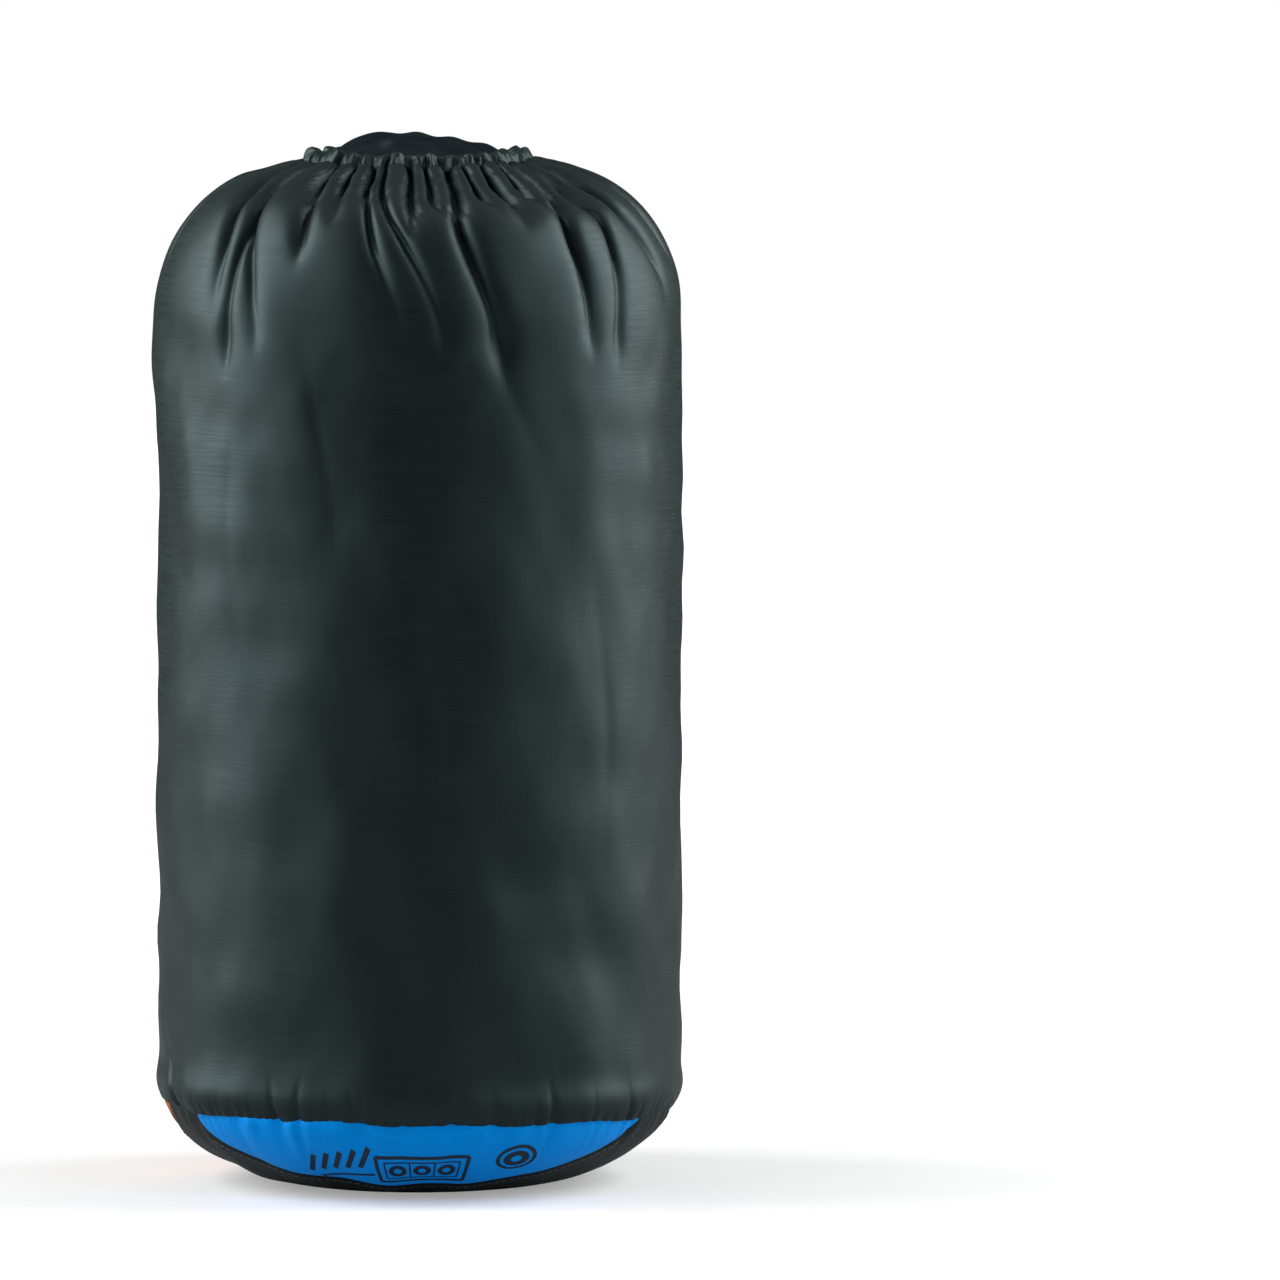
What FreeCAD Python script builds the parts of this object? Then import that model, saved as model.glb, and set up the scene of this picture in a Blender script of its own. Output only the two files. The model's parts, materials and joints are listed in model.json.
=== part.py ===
import FreeCAD, Part
import math
import os
import Sketcher

# Stuffed drawcord sack, standing on its round base, mouth up.
# Frame: origin at the middle of the base on the ground, +Z up, the front faces -Y, +X to the right.

SHEET_CELLS = (
    ("body_diameter", 211.0, "widest diameter of the stuffed sack"),
    ("body_height", 413.0, "flat top of the stuffed body, under the hem"),
    ("top_round", 62.0, "radius of the shoulder"),
    ("base_flat", 45.2, "radius of the flat patch that the sack stands on"),
    ("base_round", 73.3, "radius of the base next to the flat patch"),
    ("side_round", 36.0, "tighter radius from there to the side"),
    ("fabric_wall", 1.2, "face fabric with its seam allowances and coating"),
    ("seam_height", 30.0, "base seam above the ground"),
    ("panel_arc", 180.5, "radius of the inner edge of both coloured base panels, seen from above"),
    ("panel_arc_reach", 107.0, "middle of that arc from the axis, opposite the panel"),
    ("rear_panel_turn", 139.0, "middle of the rear panel, degrees from the front towards -X"),
    ("binding_height", 6.0, "bound seam allowance inside the base seam"),
    ("binding_wall", 1.0, "thickness of the bound allowance"),
    ("tape_width", 12.0, "tape inside the vertical back seam"),
    ("tape_wall", 0.8, "thickness of that tape"),
    ("tape_top", 340.0, "upper end of that tape"),
    ("hem_radius", 41.0, "middle of the gathered drawcord channel"),
    ("hem_level", 411.8, "middle of the channel above the ground"),
    ("hem_tube", 3.0, "outer radius of the channel's section"),
    ("hem_bore", 1.7, "inner radius of the channel's section"),
    ("hem_gap_half", 12.6, "half width of the gap where the cord comes out at the back"),
    ("cord_radius", 1.25, "drawcord"),
    ("cord_offset", 1.4, "half the distance between the two cord legs"),
    ("cord_bend", 8.0, "turn of the cord out of the channel"),
    ("leg_bend", 12.0, "turn of the legs down along the shoulder"),
    ("leg_slope", 13.5, "slope of the legs, degrees below level"),
    ("leg_length", 28.0, "straight part of each leg"),
    ("knot_reach", 31.0, "knot centre along the legs"),
    ("knot_radius", 3.8, "knot"),
    ("dent_half_width", 12.5, "half width of the hollow that the lock presses into the shoulder"),
    ("dent_depth", 4.3, "floor of that hollow below the cord legs"),
    ("dent_start", 11.0, "hollow's length from the start of the legs towards the mouth"),
    ("dent_reach", 45.0, "hollow's length from the start of the legs down the shoulder"),
    ("flap_sphere", 73.0, "outer radius of the domed mouth flap"),
    ("flap_crown", 422.0, "top of the flap above the ground"),
    ("flap_wall", 1.4, "flap thickness"),
    ("flap_root_radius", 39.0, "outline of the sewn strip behind the hinge line"),
    ("flap_hinge", 24.0, "hinge line behind the axis"),
    ("hinge_gap", 0.3, "play along each folding line"),
    ("flap_edge_ring", 35.9, "flap outline, the middle of its bound edge"),
    ("flap_edge_level", 411.75, "its height above the ground"),
    ("flap_edge_tube", 1.0, "its section radius"),
    ("mound_gap", 1.5, "contents below the flap"),
    ("mound_radius", 34.6, "contents standing in the mouth"),
    ("well_radius", 39.4, "mouth opening inside the hem"),
    ("well_floor", 404.0, "bottom of the open ring between contents and hem"),
    ("lock_reach", 9.0, "lock's middle along the legs"),
    ("lock_left", 10.2, "closed end of the barrel from the cords"),
    ("lock_right", 7.0, "open end of the barrel from the cords"),
    ("lock_depth", 14.0, "barrel along the cords"),
    ("lock_thick", 7.6, "barrel thickness"),
    ("lock_round", 3.0, "rounding along the barrel"),
    ("lock_end_round", 1.0, "rounding of the barrel's ends"),
    ("bore_depth", 10.0, "bore along the cords"),
    ("bore_thick", 5.8, "bore thickness"),
    ("bore_end", 8.95, "closed end of the bore from the cords"),
    ("cord_hole_wide", 5.9, "cord hole through the barrel"),
    ("cord_hole_high", 3.1, "its height"),
    ("plunger_depth", 9.4, "plunger along the cords"),
    ("plunger_thick", 5.2, "plunger thickness"),
    ("plunger_left", 4.15, "inner end of the plunger from the cords"),
    ("plunger_right", 10.5, "button face from the cords"),
    ("plunger_round", 1.6, "rounding along the plunger"),
    ("button_round", 1.0, "rounding of the button's face"),
    ("slot_wide", 8.9, "cord slot in the plunger"),
    ("slot_middle", 1.5, "slot's middle, towards the button"),
    ("spring_coil", 1.9, "mean radius of the spring"),
    ("spring_wire", 0.3, "wire radius of the spring"),
    ("spring_turns", 3.0, "turns of the spring"),
    ("spring_play", 0.05, "gap at each end of the spring"),
)

X_AXIS = FreeCAD.Vector(1, 0, 0)
Y_AXIS = FreeCAD.Vector(0, 1, 0)
Z_AXIS = FreeCAD.Vector(0, 0, 1)
TOOL_SPAN = 600.0  # longer than the sack, for half-space tools
THROUGH_ALL = 1
VOLUME_SHARE = 0.01  # how closely a swept piece must match section times length
FLAP_CENTRE = "Sheet.flap_crown - Sheet.flap_sphere"


def make_sheet(doc):
    sheet = doc.addObject("Spreadsheet::Sheet", "Sheet")
    for row, (alias, number, note) in enumerate(SHEET_CELLS, start=1):
        sheet.set(f"A{row}", alias)
        sheet.set(f"B{row}", str(number))
        sheet.setAlias(f"B{row}", alias)
        sheet.set(f"C{row}", note)
    doc.recompute()
    return sheet


def bind(item, **formulas):
    """Bind properties to formulas; a double underscore stands for a dot in the property's path."""
    for path, formula in formulas.items():
        item.setExpression(path.replace("__", "."), formula)
    return item


def plane(body, role):
    return next(f for f in body.Origin.OriginFeatures if f.Role == role)


def new_sketch(body, name, role, **offset):
    sketch = body.newObject("Sketcher::SketchObject", name)
    sketch.AttachmentSupport = [(plane(body, role), "")]
    sketch.MapMode = "FlatFace"
    for letter, formula in offset.items():
        sketch.setExpression(f"AttachmentOffset.Base.{letter}", formula)
    return sketch


def size_constraint(sketch, constraint, name, formula):
    index = sketch.addConstraint(constraint)
    sketch.renameConstraint(index, name)
    sketch.setExpression(f"Constraints.{name}", formula)


def rectangle_sketch(body, name, role, wide, high, **offset):
    """A rectangle about the sketch's own origin."""
    sketch = new_sketch(body, name, role, **offset)
    corners = [FreeCAD.Vector(x, y) for x, y in ((-1, -1), (1, -1), (1, 1), (-1, 1))]
    for start, end in zip(corners, corners[1:] + corners[:1]):
        sketch.addGeometry(Part.LineSegment(start, end))
    for line in range(4):
        sketch.addConstraint(Sketcher.Constraint("Coincident", line, 2, (line + 1) % 4, 1))
        sketch.addConstraint(Sketcher.Constraint("Vertical" if line % 2 else "Horizontal", line))
    sketch.addConstraint(Sketcher.Constraint("Symmetric", 0, 1, 2, 1, -1, 1))
    size_constraint(sketch, Sketcher.Constraint("DistanceX", 0, 1, 0, 2, 2), "wide", wide)
    size_constraint(sketch, Sketcher.Constraint("DistanceY", 1, 1, 1, 2, 2), "high", high)
    return sketch


def pad(body, name, sketch, length):
    feature = body.newObject("PartDesign::Pad", name)
    feature.Profile = sketch
    return bind(feature, Length=length)


def pocket(body, name, sketch, length=None):
    """Cut a profile against its normal to a depth, or right through the body both ways."""
    before = body.Shape.Volume
    feature = body.newObject("PartDesign::Pocket", name)
    feature.Profile = sketch
    if length:
        bind(feature, Length=length)
    else:
        feature.Type = THROUGH_ALL
        feature.SideType = "Symmetric"
    body.Document.recompute()
    if body.Shape.Volume > before - 1:
        raise RuntimeError(f"{name} cuts nothing")
    return feature


def fillet(body, name, base, radius, wanted):
    """Round those edges of a feature whose middle point passes a test."""
    body.Document.recompute()
    names = [
        f"Edge{number}"
        for number, edge in enumerate(base.Shape.Edges, start=1)
        if wanted(edge.BoundBox.Center, edge)
    ]
    feature = body.newObject("PartDesign::Fillet", name)
    feature.Base = (base, names)
    bind(feature, Radius=radius)
    body.Document.recompute()
    return feature


def stuffed_outline(sheet, inset):
    """Right half of the stuffed sack's section, its base line starting at the sketch's origin."""
    side = sheet.body_diameter / 2 - inset
    top = sheet.body_height - 2 * inset
    low_radius, side_radius, top_radius = (
        size - inset for size in (sheet.base_round, sheet.side_round, sheet.top_round)
    )
    reach = side - sheet.base_flat - side_radius
    tilt = math.asin(reach / (low_radius - side_radius))
    low_centre = FreeCAD.Vector(sheet.base_flat, low_radius)
    side_centre = low_centre + FreeCAD.Vector(reach, -(low_radius - side_radius) * math.cos(tilt))
    top_centre = FreeCAD.Vector(side - top_radius, top - top_radius)
    down = -math.pi / 2

    def round_arc(centre, radius, start, end):
        return Part.ArcOfCircle(Part.Circle(centre, Z_AXIS, radius), start, end)

    return [
        Part.LineSegment(FreeCAD.Vector(), FreeCAD.Vector(sheet.base_flat, 0)),
        round_arc(low_centre, low_radius, down, down + tilt),
        round_arc(side_centre, side_radius, down + tilt, 0),
        Part.LineSegment(FreeCAD.Vector(side, side_centre.y), FreeCAD.Vector(side, top_centre.y)),
        round_arc(top_centre, top_radius, 0, -down),
        Part.LineSegment(FreeCAD.Vector(top_centre.x, top), FreeCAD.Vector(0, top)),
        Part.LineSegment(FreeCAD.Vector(0, top), FreeCAD.Vector()),
    ]


def stuffed_form(doc, name, inset):
    """The stuffed sack's round form, with its whole surface moved inwards by a formula's value."""
    body = doc.addObject("PartDesign::Body", name)
    sketch = new_sketch(body, name + "_outline", "XZ_Plane", y=inset)
    for curve in stuffed_outline(doc.Sheet, doc.Sheet.evalExpression(inset)):
        sketch.addGeometry(curve)
    base_line, low_arc, side_arc, side_line, top_arc, top_line, middle_line = range(7)
    for line in range(base_line, top_line):
        sketch.addConstraint(Sketcher.Constraint("Tangent", line, 2, line + 1, 1))
    sketch.addConstraint(Sketcher.Constraint("Coincident", top_line, 2, middle_line, 1))
    sketch.addConstraint(Sketcher.Constraint("Coincident", middle_line, 2, base_line, 1))
    sketch.addConstraint(Sketcher.Constraint("Coincident", base_line, 1, -1, 1))
    sketch.addConstraint(Sketcher.Constraint("Horizontal", base_line))
    sketch.addConstraint(Sketcher.Constraint("Vertical", side_line))
    sketch.addConstraint(Sketcher.Constraint("Vertical", middle_line))
    for name_of_size, formula, kind, *place in (
        ("flat", "Sheet.base_flat", "DistanceX", base_line, 1, base_line, 2),
        ("low", f"Sheet.base_round - ({inset})", "Radius", low_arc),
        ("side", f"Sheet.side_round - ({inset})", "Radius", side_arc),
        ("shoulder", f"Sheet.top_round - ({inset})", "Radius", top_arc),
        ("half_width", f"Sheet.body_diameter / 2 - ({inset})", "DistanceX", -1, 1, side_line, 2),
        ("height", f"Sheet.body_height - 2 * ({inset})", "DistanceY", -1, 1, middle_line, 1),
    ):
        size = doc.Sheet.evalExpression(formula)
        size_constraint(sketch, Sketcher.Constraint(kind, *place, size), name_of_size, formula)
    solid = body.newObject("PartDesign::Revolution", name + "_turned")
    solid.Profile = sketch
    solid.ReferenceAxis = (sketch, ["V_Axis"])
    doc.recompute()
    return body


def box(doc, name, length, width, height):
    item = doc.addObject("Part::Box", name)
    return bind(item, Length=length, Width=width, Height=height)


def cylinder(doc, name, radius, height, level):
    item = doc.addObject("Part::Cylinder", name)
    return bind(item, Radius=radius, Height=height, Placement__Base__z=level)


def torus(doc, name, ring, tube, level):
    item = doc.addObject("Part::Torus", name)
    return bind(item, Radius1=ring, Radius2=tube, Placement__Base__z=level)


def sphere(doc, name, radius, level):
    item = doc.addObject("Part::Sphere", name)
    return bind(item, Radius=radius, Placement__Base__z=level)


def boolean(doc, kind, name, base, tool):
    item = doc.addObject("Part::" + kind, name)
    item.Base = base
    item.Tool = tool
    return item


def cut(doc, name, base, *tools):
    for number, tool in enumerate(tools[:-1], start=1):
        base = boolean(doc, "Cut", f"{name}_less_{number}", base, tool)
    return boolean(doc, "Cut", name, base, tools[-1])


def common(doc, name, base, *tools):
    for number, tool in enumerate(tools[:-1], start=1):
        base = boolean(doc, "Common", f"{name}_within_{number}", base, tool)
    return boolean(doc, "Common", name, base, tools[-1])


def fuse(doc, name, base, tool):
    return boolean(doc, "Fuse", name, base, tool)


def slab(doc, name, low, high):
    """Everything between two heights."""
    item = box(doc, name, str(TOOL_SPAN), str(TOOL_SPAN), f"({high}) - ({low})")
    return bind(
        item,
        Placement__Base__x=str(-TOOL_SPAN / 2),
        Placement__Base__y=str(-TOOL_SPAN / 2),
        Placement__Base__z=low,
    )


def behind(doc, name, start):
    """Everything on the +Y side of a plane."""
    item = box(doc, name, str(TOOL_SPAN), str(TOOL_SPAN), str(TOOL_SPAN))
    return bind(item, Placement__Base__x=str(-TOOL_SPAN / 2), Placement__Base__y=start)


def in_front(doc, name, end):
    """Everything on the -Y side of a plane."""
    item = box(doc, name, str(TOOL_SPAN), str(TOOL_SPAN), str(TOOL_SPAN))
    return bind(
        item, Placement__Base__x=str(-TOOL_SPAN / 2), Placement__Base__y=f"{end} - {TOOL_SPAN}"
    )


def leg_frame(sheet, reach):
    """Placement whose Y axis runs along the cord legs, a given distance from where they start."""
    slope = math.radians(sheet.leg_slope)
    turn_out = turn_centre(sheet).y
    start_y = turn_out + sheet.leg_bend * math.sin(slope)
    start_z = sheet.hem_level - sheet.leg_bend * (1 - math.cos(slope))
    base = FreeCAD.Vector(0, start_y + reach * math.cos(slope), start_z - reach * math.sin(slope))
    return FreeCAD.Placement(base, FreeCAD.Rotation(X_AXIS, -sheet.leg_slope))


def turn_centre(sheet):
    """Middle of the right-hand turn that takes the cord out of the channel."""
    across = sheet.cord_offset + sheet.cord_bend
    return FreeCAD.Vector(across, math.sqrt((sheet.hem_radius + sheet.cord_bend) ** 2 - across**2), 0)


def dent_tool(doc, sheet, name, layers):
    """The space above the hollow in the shoulder where the lock and the knot lie, and under its wall."""
    wall = layers * sheet.fabric_wall
    item = box(
        doc,
        name,
        f"2 * (Sheet.dent_half_width + {layers} * Sheet.fabric_wall)",
        f"Sheet.dent_start + Sheet.dent_reach + {layers} * Sheet.fabric_wall",
        str(TOOL_SPAN),
    )
    corner = FreeCAD.Vector(
        -sheet.dent_half_width - wall, -sheet.dent_start, -sheet.dent_depth - wall
    )
    item.Placement = leg_frame(sheet, 0).multiply(FreeCAD.Placement(corner, FreeCAD.Rotation()))
    return item


def make_shell(doc, sheet):
    """Outer and inner forms of the sack wall, both with the lock's hollow."""
    outer_round = stuffed_form(doc, "outer_round", "0")
    outer = cut(doc, "outer_form", outer_round, dent_tool(doc, sheet, "dent", 0))
    inner_round = stuffed_form(doc, "inner_round", "Sheet.fabric_wall")
    inner = cut(doc, "inner_form", inner_round, dent_tool(doc, sheet, "deep_dent", 1))
    return cut(doc, "shell", outer, inner), inner, inner_round


def make_panels(doc, shell, channel_solid):
    """Side panel above the base seam, and the three panels of the base."""
    side_zone = slab(doc, "side_zone", "Sheet.seam_height", "2 * Sheet.body_height")
    mouth = cylinder(doc, "mouth_cut", "Sheet.hem_radius", str(TOOL_SPAN), "Sheet.seam_height + 100")
    side = common(doc, "side_shell", shell, side_zone)
    base_zone = slab(doc, "base_zone", "-10", "Sheet.seam_height")
    base = common(doc, "base_shell", shell, base_zone)
    front_zone = inside_panel_arc(doc, "front_zone", "0")
    rear_zone = inside_panel_arc(doc, "rear_zone", "Sheet.rear_panel_turn")
    return {
        "body_panel": cut(doc, "body_panel", side, mouth, channel_solid),
        "base_front_panel": cut(doc, "base_front_panel", base, front_zone),
        "base_rear_panel": cut(doc, "base_rear_panel", base, rear_zone),
        "base_main_panel": common(doc, "base_main_panel", base, front_zone, rear_zone),
    }


def inside_panel_arc(doc, name, turn):
    """Everything on the inner side of a coloured panel's edge, the panel turned from the front."""
    item = cylinder(doc, name, "Sheet.panel_arc", str(TOOL_SPAN), "-Sheet.seam_height")
    return bind(
        item,
        Placement__Base__x=f"Sheet.panel_arc_reach * sin({turn} * 1 deg)",
        Placement__Base__y=f"Sheet.panel_arc_reach * cos({turn} * 1 deg)",
    )


def make_inner_tapes(doc, inner_round):
    """Bound allowance of the base seam and the tape of the back seam, inside the wall."""
    ring_core = stuffed_form(doc, "ring_core", "Sheet.fabric_wall + Sheet.binding_wall")
    ring_wall = cut(doc, "ring_wall", inner_round, ring_core)
    half = "Sheet.binding_height / 2"
    ring_zone = slab(doc, "ring_zone", f"Sheet.seam_height - {half}", f"Sheet.seam_height + {half}")
    tape_core = stuffed_form(doc, "tape_core", "Sheet.fabric_wall + Sheet.tape_wall")
    tape_wall = cut(doc, "tape_wall", inner_round, tape_core)
    tape_low = f"Sheet.seam_height + {half} + Sheet.hinge_gap"
    tape_zone = box(doc, "tape_zone", "Sheet.tape_width", str(TOOL_SPAN), f"Sheet.tape_top - ({tape_low})")
    bind(tape_zone, Placement__Base__x="-Sheet.tape_width / 2", Placement__Base__z=tape_low)
    return {
        "base_seam_binding": common(doc, "base_seam_binding", ring_wall, ring_zone),
        "back_seam_tape": common(doc, "back_seam_tape", tape_wall, tape_zone),
    }


def make_contents(doc, inner, channel_solid, tapes):
    """The packed sleeping bag: it fills the sack and stands a little way up in the mouth."""
    well = cylinder(doc, "mouth_well", "Sheet.well_radius", str(TOOL_SPAN), "Sheet.well_floor")
    ball = sphere(doc, "mound_ball", "Sheet.flap_sphere - Sheet.flap_wall - Sheet.mound_gap", FLAP_CENTRE)
    plug = cylinder(doc, "mound_plug", "Sheet.mound_radius", str(TOOL_SPAN), "Sheet.well_floor")
    mound = common(doc, "mound", ball, plug)
    filling = cut(doc, "filling", inner, well, channel_solid, *tapes.values())
    return {"packed_sleeping_bag": fuse(doc, "packed_sleeping_bag", filling, mound)}


def make_flap(doc, channel_solid):
    """Domed dust flap over the mouth: a moving part in front of the hinge line, a sewn strip behind."""
    dome = cut(
        doc,
        "flap_dome",
        sphere(doc, "dome_outside", "Sheet.flap_sphere", FLAP_CENTRE),
        sphere(doc, "dome_inside", "Sheet.flap_sphere - Sheet.flap_wall", FLAP_CENTRE),
    )
    disc = cylinder(doc, "flap_disc", "Sheet.flap_edge_ring", str(TOOL_SPAN), "Sheet.well_floor")
    root_disc = cylinder(doc, "root_disc", "Sheet.flap_root_radius", str(TOOL_SPAN), "Sheet.well_floor")
    front = in_front(doc, "before_hinge", "Sheet.flap_hinge - Sheet.hinge_gap / 2")
    rear = behind(doc, "after_hinge", "Sheet.flap_hinge + Sheet.hinge_gap / 2")
    edge = torus(doc, "edge_ring", "Sheet.flap_edge_ring", "Sheet.flap_edge_tube", "Sheet.flap_edge_level")
    leaf = common(doc, "flap_leaf", dome, disc, front)
    strip = common(doc, "flap_strip", dome, root_disc, rear)
    return {
        "mouth_flap": cut(doc, "mouth_flap", leaf, edge),
        "flap_edge_binding": common(doc, "flap_edge_binding", edge, front),
        "flap_root": cut(doc, "flap_root", strip, channel_solid),
    }


def make_channel(doc, channel_solid):
    """Gathered drawcord channel round the mouth, open at the back where the cord comes out."""
    bore = torus(doc, "channel_bore", "Sheet.hem_radius", "Sheet.hem_bore", "Sheet.hem_level")
    gap = box(doc, "channel_gap", "2 * Sheet.hem_gap_half", str(TOOL_SPAN), str(TOOL_SPAN))
    bind(gap, Placement__Base__x="-Sheet.hem_gap_half")
    return {"hem_channel": cut(doc, "hem_channel", channel_solid, bore, gap)}


def arc(start, middle, end):
    return Part.Arc(start, middle, end).toShape()


def cord_side(sheet, side):
    """The cord's way from the channel to the end of one leg, on the side whose X sign is given."""
    level = sheet.hem_level
    centre = turn_centre(sheet)
    at_channel = centre * (sheet.hem_radius / (sheet.hem_radius + sheet.cord_bend))
    half_turn = math.pi + math.atan2(centre.y, centre.x) / 2
    turn_middle = centre + FreeCAD.Vector(math.cos(half_turn), math.sin(half_turn), 0) * sheet.cord_bend
    half_slope = math.radians(sheet.leg_slope / 2)
    bend_y = centre.y + sheet.leg_bend * math.sin(half_slope)
    bend_z = level - sheet.leg_bend * (1 - math.cos(half_slope))
    start = leg_frame(sheet, 0).Base
    tip = leg_frame(sheet, sheet.leg_length).Base

    def point(across, along, height):
        return FreeCAD.Vector(side * across, along, height)

    channel_point = point(at_channel.x, at_channel.y, level)
    turn_end = point(sheet.cord_offset, centre.y, level)
    leg_start = point(sheet.cord_offset, start.y, start.z)
    leg_end = point(sheet.cord_offset, tip.y, tip.z)
    turn = arc(channel_point, point(turn_middle.x, turn_middle.y, level), turn_end)
    bend = arc(turn_end, point(sheet.cord_offset, bend_y, bend_z), leg_start)
    return channel_point, [turn, bend, Part.LineSegment(leg_start, leg_end).toShape()], leg_end


def feature(doc, name, shape, placement=None):
    item = doc.addObject("Part::Feature", name)
    item.Shape = shape
    if placement:
        item.Placement = placement
    return item


def swept_solid(path, section_centre, direction, radius):
    """A round section carried along a path, with its volume compared with section times length."""
    ring = Part.Wire(Part.Circle(section_centre, direction, radius).toShape())
    solid = path.makePipeShell([ring], True, False)
    expected = math.pi * radius**2 * path.Length
    if abs(solid.Volume - expected) > VOLUME_SHARE * expected:
        raise RuntimeError(f"swept volume {solid.Volume:.1f}, expected {expected:.1f}")
    return solid


def make_cord(doc, sheet):
    """Drawcord: once round in the channel, out at the back and straight through the lock to its knot."""
    right_point, right_edges, leg_end = cord_side(sheet, 1)
    left_point, left_edges, _ = cord_side(sheet, -1)
    front = FreeCAD.Vector(0, -sheet.hem_radius, sheet.hem_level)
    path = Part.Wire(right_edges[::-1] + [arc(right_point, front, left_point)] + left_edges)
    along = leg_frame(sheet, 0).Rotation.multVec(Y_AXIS)
    cord = feature(doc, "drawcord", swept_solid(path, leg_end, along, sheet.cord_radius))
    print(f"drawcord length {path.Length:.1f} mm")
    ball = doc.addObject("Part::Ellipsoid", "knot_ball")
    bind(ball, Radius1="Sheet.knot_radius * 0.9", Radius2="Sheet.knot_radius", Radius3="Sheet.knot_radius")
    ball.Placement = leg_frame(sheet, sheet.knot_reach)
    return {"drawcord": cord, "drawcord_knot": cut(doc, "drawcord_knot", ball, cord)}


def runs_along_x(point, edge):
    return edge.BoundBox.YLength + edge.BoundBox.ZLength < edge.BoundBox.XLength


def make_barrel(doc):
    """Lock barrel: rounded block with a bore from its open end and a cord hole through it."""
    body = doc.addObject("PartDesign::Body", "cord_lock_barrel")
    block = rectangle_sketch(
        body, "barrel_block", "YZ_Plane", "Sheet.lock_depth", "Sheet.lock_thick", z="-Sheet.lock_left"
    )
    solid = pad(body, "barrel_pad", block, "Sheet.lock_left + Sheet.lock_right")
    rounded = fillet(body, "barrel_sides", solid, "Sheet.lock_round", runs_along_x)
    closed_end = rounded.Shape.BoundBox.XMin

    def at_closed_end(point, edge):
        return edge.BoundBox.XLength < 0.01 and point.x < closed_end + 1

    fillet(body, "barrel_end", rounded, "Sheet.lock_end_round", at_closed_end)
    bore = rectangle_sketch(
        body, "barrel_bore", "YZ_Plane", "Sheet.bore_depth", "Sheet.bore_thick", z="Sheet.lock_right"
    )
    pocket(body, "bore_pocket", bore, "Sheet.bore_end + Sheet.lock_right")
    hole = rectangle_sketch(
        body, "barrel_cord_hole", "XZ_Plane", "Sheet.cord_hole_wide", "Sheet.cord_hole_high"
    )
    pocket(body, "cord_hole_pocket", hole)
    return body


def make_plunger(doc):
    """Button and plunger in one piece, with the long slot that the cord runs through."""
    body = doc.addObject("PartDesign::Body", "cord_lock_plunger")
    block = rectangle_sketch(
        body,
        "plunger_block",
        "YZ_Plane",
        "Sheet.plunger_depth",
        "Sheet.plunger_thick",
        z="-Sheet.plunger_left",
    )
    solid = pad(body, "plunger_pad", block, "Sheet.plunger_left + Sheet.plunger_right")
    rounded = fillet(body, "plunger_sides", solid, "Sheet.plunger_round", runs_along_x)
    button_face = rounded.Shape.BoundBox.XMax

    def at_button_face(point, edge):
        return edge.BoundBox.XLength < 0.01 and point.x > button_face - 1

    fillet(body, "button_face", rounded, "Sheet.button_round", at_button_face)
    slot = rectangle_sketch(
        body, "plunger_slot", "XZ_Plane", "Sheet.slot_wide", "Sheet.cord_hole_high", x="Sheet.slot_middle"
    )
    pocket(body, "slot_pocket", slot)
    return body


def make_spring(doc, sheet, placement):
    """Coil spring between the closed end of the bore and the plunger."""
    room = sheet.bore_end - sheet.plunger_left - 2 * (sheet.spring_wire + sheet.spring_play)
    helix = Part.makeHelix(room / sheet.spring_turns, room, sheet.spring_coil)
    start = FreeCAD.Vector(sheet.spring_coil, 0, 0)
    ring = Part.Wire(Part.Circle(start, Y_AXIS, sheet.spring_wire).toShape())
    coil = Part.Wire(helix.Edges).makePipeShell([ring], True, True)
    low_end = -sheet.bore_end + sheet.spring_wire + sheet.spring_play
    along_bore = FreeCAD.Placement(FreeCAD.Vector(low_end, 0, 0), FreeCAD.Rotation(Z_AXIS, X_AXIS))
    return feature(doc, "cord_lock_spring", coil, placement.multiply(along_bore))


def make_lock(doc, sheet):
    placement = leg_frame(sheet, sheet.lock_reach)
    barrel = make_barrel(doc)
    plunger = make_plunger(doc)
    barrel.Placement = placement
    plunger.Placement = placement
    return {
        "cord_lock_barrel": barrel,
        "cord_lock_plunger": plunger,
        "cord_lock_spring": make_spring(doc, sheet, placement),
    }


def build():
    doc = FreeCAD.newDocument("stuff_sack")
    sheet = make_sheet(doc)
    shell, inner, inner_round = make_shell(doc, sheet)
    channel_solid = torus(doc, "channel_solid", "Sheet.hem_radius", "Sheet.hem_tube", "Sheet.hem_level")
    tapes = make_inner_tapes(doc, inner_round)
    pieces = {
        **make_panels(doc, shell, channel_solid),
        **tapes,
        **make_contents(doc, inner, channel_solid, tapes),
        **make_channel(doc, channel_solid),
        **make_cord(doc, sheet),
        **make_lock(doc, sheet),
        **make_flap(doc, channel_solid),
    }
    doc.recompute()
    return doc, pieces


def check(doc, pieces):
    failed = [item.Name for item in doc.Objects if {"Invalid", "Error"} & set(item.State)]
    if failed:
        raise RuntimeError(f"failed objects: {failed}")
    for node, item in pieces.items():
        if item.Shape.isNull() or not item.Shape.isValid() or not item.Shape.Solids:
            raise RuntimeError(f"bad shape: {node}")


def export(pieces):
    os.makedirs("parts", exist_ok=True)
    for node, item in pieces.items():
        item.Label = node
        item.Shape.exportStep(f"parts/{node}.step")
        bounds = item.Shape.BoundBox
        print(
            f"{node:22} {item.Shape.Volume:12.0f} mm3, {len(item.Shape.Solids)} solid, "
            f"z {bounds.ZMin:.1f} to {bounds.ZMax:.1f}"
        )


def main():
    doc, pieces = build()
    check(doc, pieces)
    export(pieces)


main()
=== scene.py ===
import json
import math

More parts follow.
